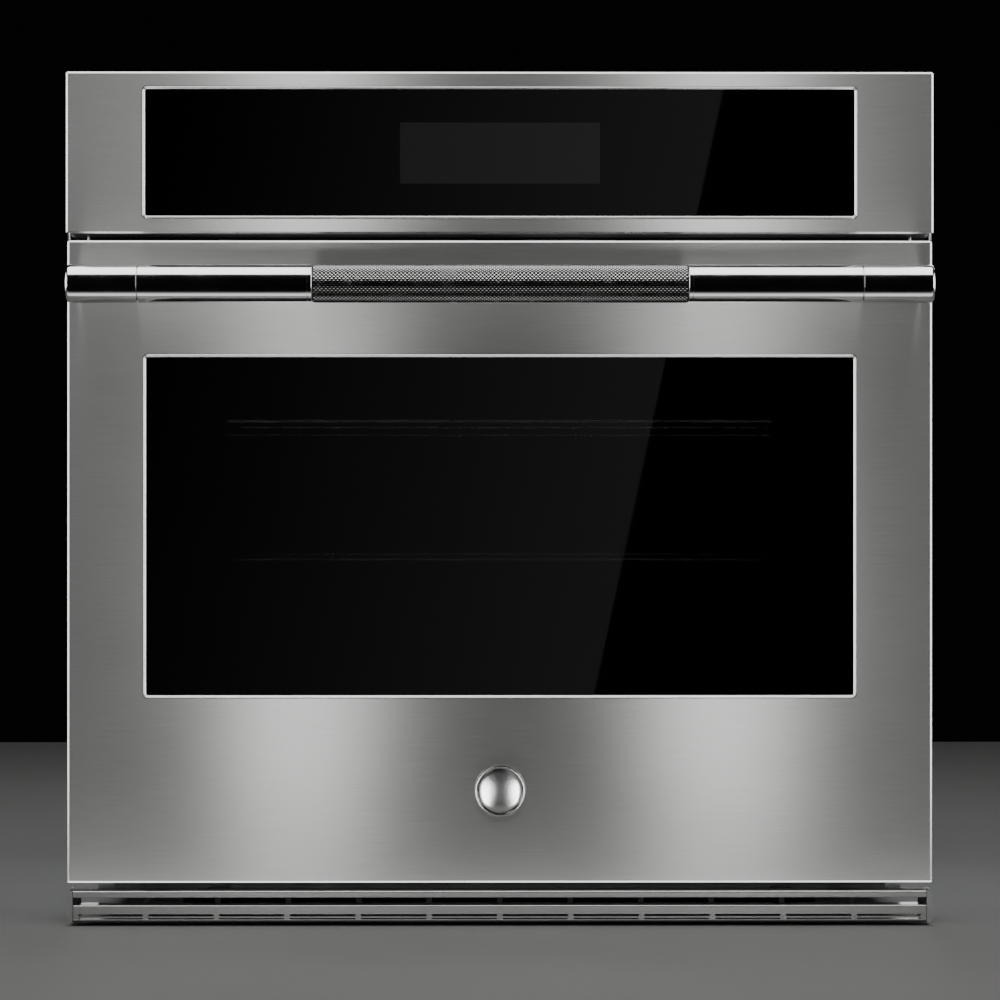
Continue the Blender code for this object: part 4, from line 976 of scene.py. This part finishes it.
def makeRack(level, look):
    low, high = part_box(level + "_rack")
    inset = look["frameRadius"]
    z = low.z + inset
    lowIn = Vector((low.x + inset, low.y + inset, 0))
    highIn = Vector((high.x - inset, high.y - inset, 0))
    body = level + "_rack"
    outline = roundedRect(lowIn.x, lowIn.y, highIn.x, highIn.y, look["corner"], 6)
    loop = wires(level + "RackFrame", [[(x, y, z) for x, y in outline]], look["frameRadius"], chromeWire,
                 cyclic=True, sides=12)
    settle(loop, body, "rack_wire", body)
    start = -look["pitch"] * (look["wires"] - 1) / 2
    front = lowIn.y
    bend = look["bend"]
    deckZ = z + 0.0005
    run = [(start, front, z - look["lipDrop"])]
    for step in range(6):
        angle = math.pi / 2 * step / 5
        run.append((start, front + bend * (1 - math.cos(angle)), deckZ - bend * (1 - math.sin(angle))))
    run.append((start, highIn.y, deckZ))
    deck = wires(level + "RackDeck", [run], look["deckRadius"], chromeWire, look["wires"],
                 (look["pitch"], 0, 0), 8)
    settle(deck, body, "rack_wire")
    lipEnd, lipZ = start - look["lipOverhang"], z - look["lipDrop"]
    lip = wires(level + "RackLip", [[(lipEnd, front, lipZ), (-lipEnd, front, lipZ)]], look["lipRadius"],
                chromeWire, sides=10)
    settle(lip, body, "rack_wire")
    gap = (highIn.y - front) / (look["braces"] + 1)
    braceY, braceZ = front + gap, z - look["braceDrop"]
    brace = wires(level + "RackBraces", [[(lowIn.x, braceY, braceZ), (highIn.x, braceY, braceZ)]],
                  look["lipRadius"], chromeWire, look["braces"], (0, gap, 0), 10)
    settle(brace, body, "rack_wire")


for level in ("lower", "upper"):
    makeRack(level, rackLook)

guideLook = {"radius": 0.0025, "levels": 5, "levelGap": 0.063, "underRack": 0.0049, "posts": 3,
             "firstPost": 0.035, "lastPostY": 0.190}


def makeGuide(side, look):
    name = sideNames[side]
    low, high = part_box("rack_guide_" + name)
    radius = look["radius"]
    inner, outer = inOut(low, high, side)
    railX = inner + side * radius
    postX = outer - side * radius
    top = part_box("upper_rack")[0].z + rackLook["frameRadius"] - look["underRack"]
    rails = wires("guideRails" + name.title(), [[(railX, low.y, top), (railX, high.y, top)]], radius,
                  chromeWire, look["levels"], (0, 0, -look["levelGap"]))
    settle(rails, "root", "rack_wire", "rack_guide_" + name)
    first = low.y + look["firstPost"]
    gap = (look["lastPostY"] - first) / (look["posts"] - 1)
    posts = wires("guidePosts" + name.title(), [[(postX, first, low.z), (postX, first, high.z)]], radius,
                  chromeWire, look["posts"], (0, gap, 0))
    settle(posts, "root", "rack_wire")


for side in (-1, 1):
    makeGuide(side, guideLook)
print("stage: racks made")


# ---- gasket: a braided tube pressed between frame and door

gasketLook = {"sides": 14, "spacing": 0.0012, "ridge": 0.00022, "corner": 0.028}


def makeGasket(look):
    low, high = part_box("door_gasket")
    radius = (high.y - low.y) / 2 - look["ridge"]
    profile = []
    for step in range(look["sides"]):
        angle = tau * step / look["sides"]
        lift = look["ridge"] if step % 2 else 0.0
        profile.append((-radius + (radius + lift) * math.cos(angle), (radius + lift) * math.sin(angle)))
    middleY = (low.y + high.y) / 2
    bm = frameSweep(profile, high.x, low.z, high.z, middleY, look["corner"], 24, look["spacing"])
    piece = finishMesh("doorGasket", bm, [gasketBraid], 60.0)
    settle(piece, "root", "gasket", "door_gasket")


makeGasket(gasketLook)


# ---- wool behind the panels, softened copies of its solids

woolLook = {"ripple": 0.0012, "cell": 0.018}


def softened(name, nodeName, body, look):
    bm = fromMesh(nodes[nodeName].data, 0.00001)
    for _ in range(3):
        longEdges = [edge for edge in bm.edges if edge.calc_length() > look["cell"] * 2]
        if longEdges:
            bmesh.ops.subdivide_edges(bm, edges=longEdges, cuts=1)
            bmesh.ops.triangulate(bm, faces=bm.faces)
    bm.normal_update()
    for vert in bm.verts:
        wave = math.sin(vert.co.x * 190) + math.sin(vert.co.y * 230 + 1.0) + math.sin(vert.co.z * 210 + 2.0)
        vert.co -= vert.normal * look["ripple"] * (0.5 + wave / 6)
    piece = finishMesh(name, bm, [rockWool], 50.0, recalc=False)
    settle(piece, body, "wool", nodeName)


softened("cavityWool", "cavity_insulation", "root", woolLook)
softened("doorWool", "door_insulation", "door", woolLook)


# ---- lamps

lampLook = {"segments": 48, "lensRadius": 0.0225}


def makeLamp(name, look):
    low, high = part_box("oven_lamp_" + name)
    centre = ((low.x + high.x) / 2, 0, (low.z + high.z) / 2)
    flange = (high.x - low.x) / 2
    face = low.y
    lens = [(face, 0.0)]
    for step in range(1, 9):
        angle = math.pi / 2 * step / 8
        lens.append((face + 0.013 * (1 - math.cos(angle)), look["lensRadius"] * math.sin(angle)))
    lens += [(face + 0.020, look["lensRadius"]), (face + 0.020, 0.0)]
    bm = lathe(lens, look["segments"], "Y", centre)
    glass = finishMesh("lampLens" + name.title(), bm, [lampGlass], 40.0)
    settle(glass, "root", "clear_glass", "oven_lamp_" + name)
    ring = [(face + 0.0120, look["lensRadius"] + 0.0006), (face + 0.0110, look["lensRadius"] + 0.0022),
            (face + 0.0125, look["lensRadius"] + 0.0040), (face + 0.0148, flange), (face + 0.0170, flange),
            (face + 0.0175, 0.0255), (high.y, 0.0255), (high.y, look["lensRadius"] + 0.0006)]
    holder = finishMesh("lampRing" + name.title(), lathe(ring, look["segments"], "Y", centre, closed=True),
                        [dullSteel], 30.0)
    settle(holder, "root", "sheet_steel")


for name in ("left", "right"):
    makeLamp(name, lampLook)


# ---- heating rods, rounded copies of their solids

def roundedCopy(name, nodeName, body, material, slotName):
    piece = finishMesh(name, fromMesh(nodes[nodeName].data, 0.00001), [material], 50.0)
    return settle(piece, body, slotName, nodeName)


for name in ("broil", "bake", "ring"):
    roundedCopy(name + "Rod", name + "_element", "root", heatedMetal, "heating_rod")
print("stage: cavity pieces made")


# ---- screws

screwLook = {"radius": 0.0042, "height": 0.0022, "socket": 0.0016, "segments": 12}


def screwPart(look):
    radius = look["radius"]
    height = look["height"]
    socket = look["socket"]
    points = [(-0.0004, 0.0), (-0.0004, radius), (height * 0.35, radius), (height * 0.8, radius * 0.8),
              (height, radius * 0.5), (height, socket), (height * 0.35, socket * 0.9), (height * 0.30, 0.0)]
    return helperObject("screwPart", lathe(points, look["segments"], "Z", (0, 0, 0)), polishedSteel)


def rowSpots(start, end, count, aim):
    first = Vector(start)
    last = Vector(end)
    return [(first.lerp(last, index / (count - 1)), aim) for index in range(count)]


def allScrews(look):
    part = screwPart(look)

    def fit(name, spots, size=1.0, body="root", finish=polishedSteel, slotName="polished_steel"):
        settle(scatter(name, part, spots, finish, size), body, slotName)

    low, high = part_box("back_panel")
    y = high.y
    spots = []
    for z in (low.z + 0.012, high.z - 0.012):
        spots += rowSpots((low.x + 0.020, y, z), (high.x - 0.020, y, z), 6, (0, 1, 0))
    for x in (low.x + 0.008, high.x - 0.008):
        spots += rowSpots((x, y, low.z + 0.12), (x, y, high.z - 0.12), 4, (0, 1, 0))
    fit("backScrews", spots)
    spots = []
    for side, name in sideNames.items():
        low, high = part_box("side_panel_" + name)
        x, aim = inOut(low, high, side)[1], (side, 0, 0)
        for y in (low.y + 0.010, high.y - 0.010):
            spots += rowSpots((x, y, low.z + 0.03), (x, y, high.z - 0.03), 5, aim)
        for z in (low.z + 0.006, high.z - 0.006):
            spots += rowSpots((x, low.y + 0.09, z), (x, high.y - 0.09, z), 4, aim)
    fit("sideScrews", spots, 0.9)
    low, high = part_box("top_panel")
    spots = []
    for y in (low.y + 0.012, high.y - 0.012):
        spots += rowSpots((low.x + 0.05, y, high.z), (high.x - 0.05, y, high.z), 5, (0, 0, 1))
    fit("topScrews", spots, 0.9)
    low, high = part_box("fan_baffle")
    spots = [((x, low.y, z), (0, -1, 0)) for x in (low.x + 0.02, high.x - 0.02)
             for z in (low.z + 0.02, high.z - 0.02)]
    fit("baffleScrews", spots, 1.0, "root", dullSteel, "sheet_steel")
    low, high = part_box("door_liner")
    wide = high.x - 0.012
    back = high.y - 0.0045
    spots = []
    for x in (-wide, wide):
        spots += rowSpots((x, back, low.z + 0.05), (x, back, high.z - 0.04), 4, (0, 1, 0))
    spots += rowSpots((-0.24, back, high.z - 0.010), (0.24, back, high.z - 0.010), 4, (0, 1, 0))
    fit("doorScrews", spots, 0.8, "door", dullSteel, "sheet_steel")
    bpy.data.objects.remove(part, do_unlink=True)


allScrews(screwLook)
print("stage: screws made")


# ---- finishes for the carried-over nodes

finishes = [
    (sheetSteel, "base_pan top_panel side_panel_left side_panel_right back_panel foot_rail_left "
                 "foot_rail_right terminal_box duct_plate blower_housing blower_wheel convection_fan"),
    (dullSteel, "fan_motor hinge_arm_left hinge_arm_right hinge_channel_left hinge_channel_right latch_hook "
                "glass_spacer temperature_sensor"),
    (ovenEnamel, "oven_cavity fan_baffle door_liner"),
    (frameEnamel, "front_frame"),
    (blackPaint, "blower_motor latch_motor"),
    (blackPlastic, "display_module door_switch switch_plunger"),
    (boardGreen, "relay_board"),
]
for material, names in finishes:
    for name in names.split():
        nodes[name].data.materials.clear()
        nodes[name].data.materials.append(material)
print("stage: finishes set")


# ---- floor, lights and camera

stageLook = {"floorColor": (0.62, 0.62, 0.61), "floorHalf": 2.2, "floorFront": -0.73, "floorBack": 2.0,
             "world": 0.0015}


def makeStage(look):
    material, tree, shader = newMaterial("paleFloor", {"Roughness": 0.6})
    pale = look["floorColor"]
    dim = tuple(channel * 0.94 for channel in pale)
    setColor(tree, shader, noise(tree, 3.0, 5.0), (0.3, dim), (0.7, pale))
    half = look["floorHalf"]
    bm = slab((-half, look["floorFront"], -0.012), (half, look["floorBack"], -0.0005), 0.02, 0.002, "Z")
    finishMesh("floor", bm, [material])
    world = bpy.data.worlds.new("studio")
    world.use_nodes = True
    world.node_tree.nodes["Background"].inputs[0].default_value = (look["world"],) * 3 + (1.0,)
    bpy.context.scene.world = world


def linkLight(holder, role, items, state):
    # light linking: only these items, or all but these, take the light or throw its shadow
    if items:
        group = bpy.data.collections.new(holder.name + role.title())
        setattr(holder.light_linking, role + "_collection", group)
        for item in items:
            group.objects.link(item)
        for member in group.collection_objects:
            member.light_linking.link_state = state


def softBox(name, box, roll=0.0, leaveOut=(), only=(), fade=False, noShadow=()):
    place, target, (width, height), radiance = box
    lamp = bpy.data.lights.new(name, "AREA")
    lamp.shape = "RECTANGLE"
    lamp.size = width
    lamp.size_y = height
    lamp.energy = radiance * math.pi * width * height
    if fade:  # the light falls away towards one side
        lamp.use_nodes = True
        tree = lamp.node_tree
        spot = addNode(tree, "ShaderNodeNewGeometry").outputs["Parametric"]
        tree.links.new(addNode(tree, "ShaderNodeSeparateXYZ", {0: spot}).outputs[0],
                       tree.nodes["Emission"].inputs["Strength"])
    holder = placed(name, lamp)
    aim = (Vector(target) - Vector(place)).to_track_quat("-Z", "Y")
    holder.rotation_euler = (aim.to_matrix().to_4x4() @ Matrix.Rotation(roll, 4, "Z")).to_euler()
    holder.location = place
    holder.visible_camera = False
    linkLight(holder, "blocker", noShadow, "EXCLUDE")
    linkLight(holder, "receiver", leaveOut, "EXCLUDE")
    linkLight(holder, "receiver", only, "INCLUDE")


# each soft box is (place, target, (width, height), radiance)
lightLook = {
    "overhead": ((0, -0.55, 2.3), (0, -0.55, 0), (2.8, 2.1), 1.0),
    "overheadBars": ((0, -0.55, 2.28), (0, -0.55, 0), (2.8, 2.1), 2.2),
    "overheadSteel": ((0, -0.55, 2.26), (0, -0.55, 0), (2.8, 2.1), 1.2),
    "side-1": ((-2.4, -0.9, 0.9), (0, -0.9, 0.9), (2.6, 2.2), 2.6),
    "side1": ((2.4, -0.9, 0.9), (0, -0.9, 0.9), (2.6, 2.2), 2.6),
    "backFill": ((0.3, 2.6, 1.3), (0, 0.3, 0.3), (2.2, 1.8), 3.6),
    "lowGlow": ((0, -0.50, 0.004), (0, -0.50, 1), (1.6, 0.20), 0.9),
    "edgeGlow": ((0, -0.318, 0.004), (0, -0.318, 1), (1.6, 0.055), 1.8),
    "fill": ((1.9, -3.4, -0.2), (1.9, 0, -0.2), (3.2, 2.9), 0.16),
    "leftFill": ((-0.72, -3.4, 1.45), (-0.72, 0, 1.45), (0.4, 1.1), 0.9),
    "rackGlow": ((0, -0.20, 0.50), (0, 0.10, 0.20), (0.5, 0.1), 1.3),
}
stripLook = {"places": (-0.262, 0.312), "away": 1.65, "width": 0.165,
             "door": {"height": -0.31, "tall": 0.86, "radiance": 8.0},
             "panel": {"height": 0.8, "tall": 0.9, "radiance": 2.9}}
cardLook = {"lean": 12.06, "edge": (0.146, -0.17), "rise": 0.7, "size": (0.95, 3.2), "away": -3.4,
            "radiance": 0.26}


def stripBox(x, place, look):
    y = doorLow.y - look["away"]
    z = place["height"]
    return (x, y, z), (x, 0, z), (look["width"], place["tall"]), place["radiance"]


def cardBox(lean, look):
    # the dim card in front has one slanting edge that the glass mirrors as a diagonal
    centre = Vector(look["edge"]) + Vector((math.sin(lean), math.cos(lean))) * look["rise"]
    centre += Vector((-math.cos(lean), math.sin(lean))) * look["size"][0] / 2
    return (centre.x, look["away"], centre.y), (centre.x, 0, centre.y), look["size"], look["radiance"]


def makeLights(boxes, strips, card):
    everything = bpy.data.objects
    meshes = [item for item in everything if item.type == "MESH"]
    panes = [everything[name] for name in ("controlGlass", "windowPane", "middlePane", "innerPane")]
    bars = [item for item in meshes if item.name.startswith("handle")]
    steel = [everything[name] for name in ("controlFascia", "doorSkin", "controlBezel", "windowBezel")]
    feet = [nodes[name] for name in ("base_pan", "foot_rail_left", "foot_rail_right")]
    ground = [everything["floor"]] + feet
    dull = panes + bars + ground
    softBox("overhead", boxes["overhead"])
    softBox("overheadBars", boxes["overheadBars"], only=bars)
    softBox("overheadSteel", boxes["overheadSteel"], only=steel + [everything["ventTrim"]], noShadow=bars)
    for name in ("side-1", "side1", "backFill"):
        softBox(name, boxes[name], leaveOut=ground)
    softBox("lowGlow", boxes["lowGlow"], only=bars)
    softBox("edgeGlow", boxes["edgeGlow"], only=steel)
    for x in strips["places"]:
        softBox("strip" + str(x), stripBox(x, strips["door"], strips), leaveOut=dull)
        softBox("panelStrip" + str(x), stripBox(x, strips["panel"], strips), only=steel[:1])
    lean = math.radians(card["lean"])
    softBox("card", cardBox(lean, card), -lean, only=panes, fade=True)
    softBox("fill", boxes["fill"], leaveOut=dull)
    softBox("leftFill", boxes["leftFill"], leaveOut=dull, noShadow=bars)
    softBox("rackGlow", boxes["rackGlow"], only=[item for item in meshes if "Rack" in item.name])


cameraLook = {"distance": 3.0, "yaw": -0.35, "lens": 122.95, "height": 0.3738, "aim": 0.0}


def makeCamera(look):
    yaw = math.radians(look["yaw"])
    camera = bpy.data.cameras.new("camera")
    camera.lens = look["lens"]
    camera.sensor_width = 36.0
    camera.clip_start = 0.05
    holder = placed("camera", camera)
    aim = Vector((look["aim"], doorLow.y, look["height"]))
    holder.location = aim + Vector((math.sin(yaw), -math.cos(yaw), 0)) * look["distance"]
    holder.rotation_euler = (aim - holder.location).to_track_quat("-Z", "Y").to_euler()
    bpy.context.scene.camera = holder


makeStage(stageLook)
makeLights(lightLook, stripLook, cardLook)
makeCamera(cameraLook)
print("stage: floor, lights and camera set")
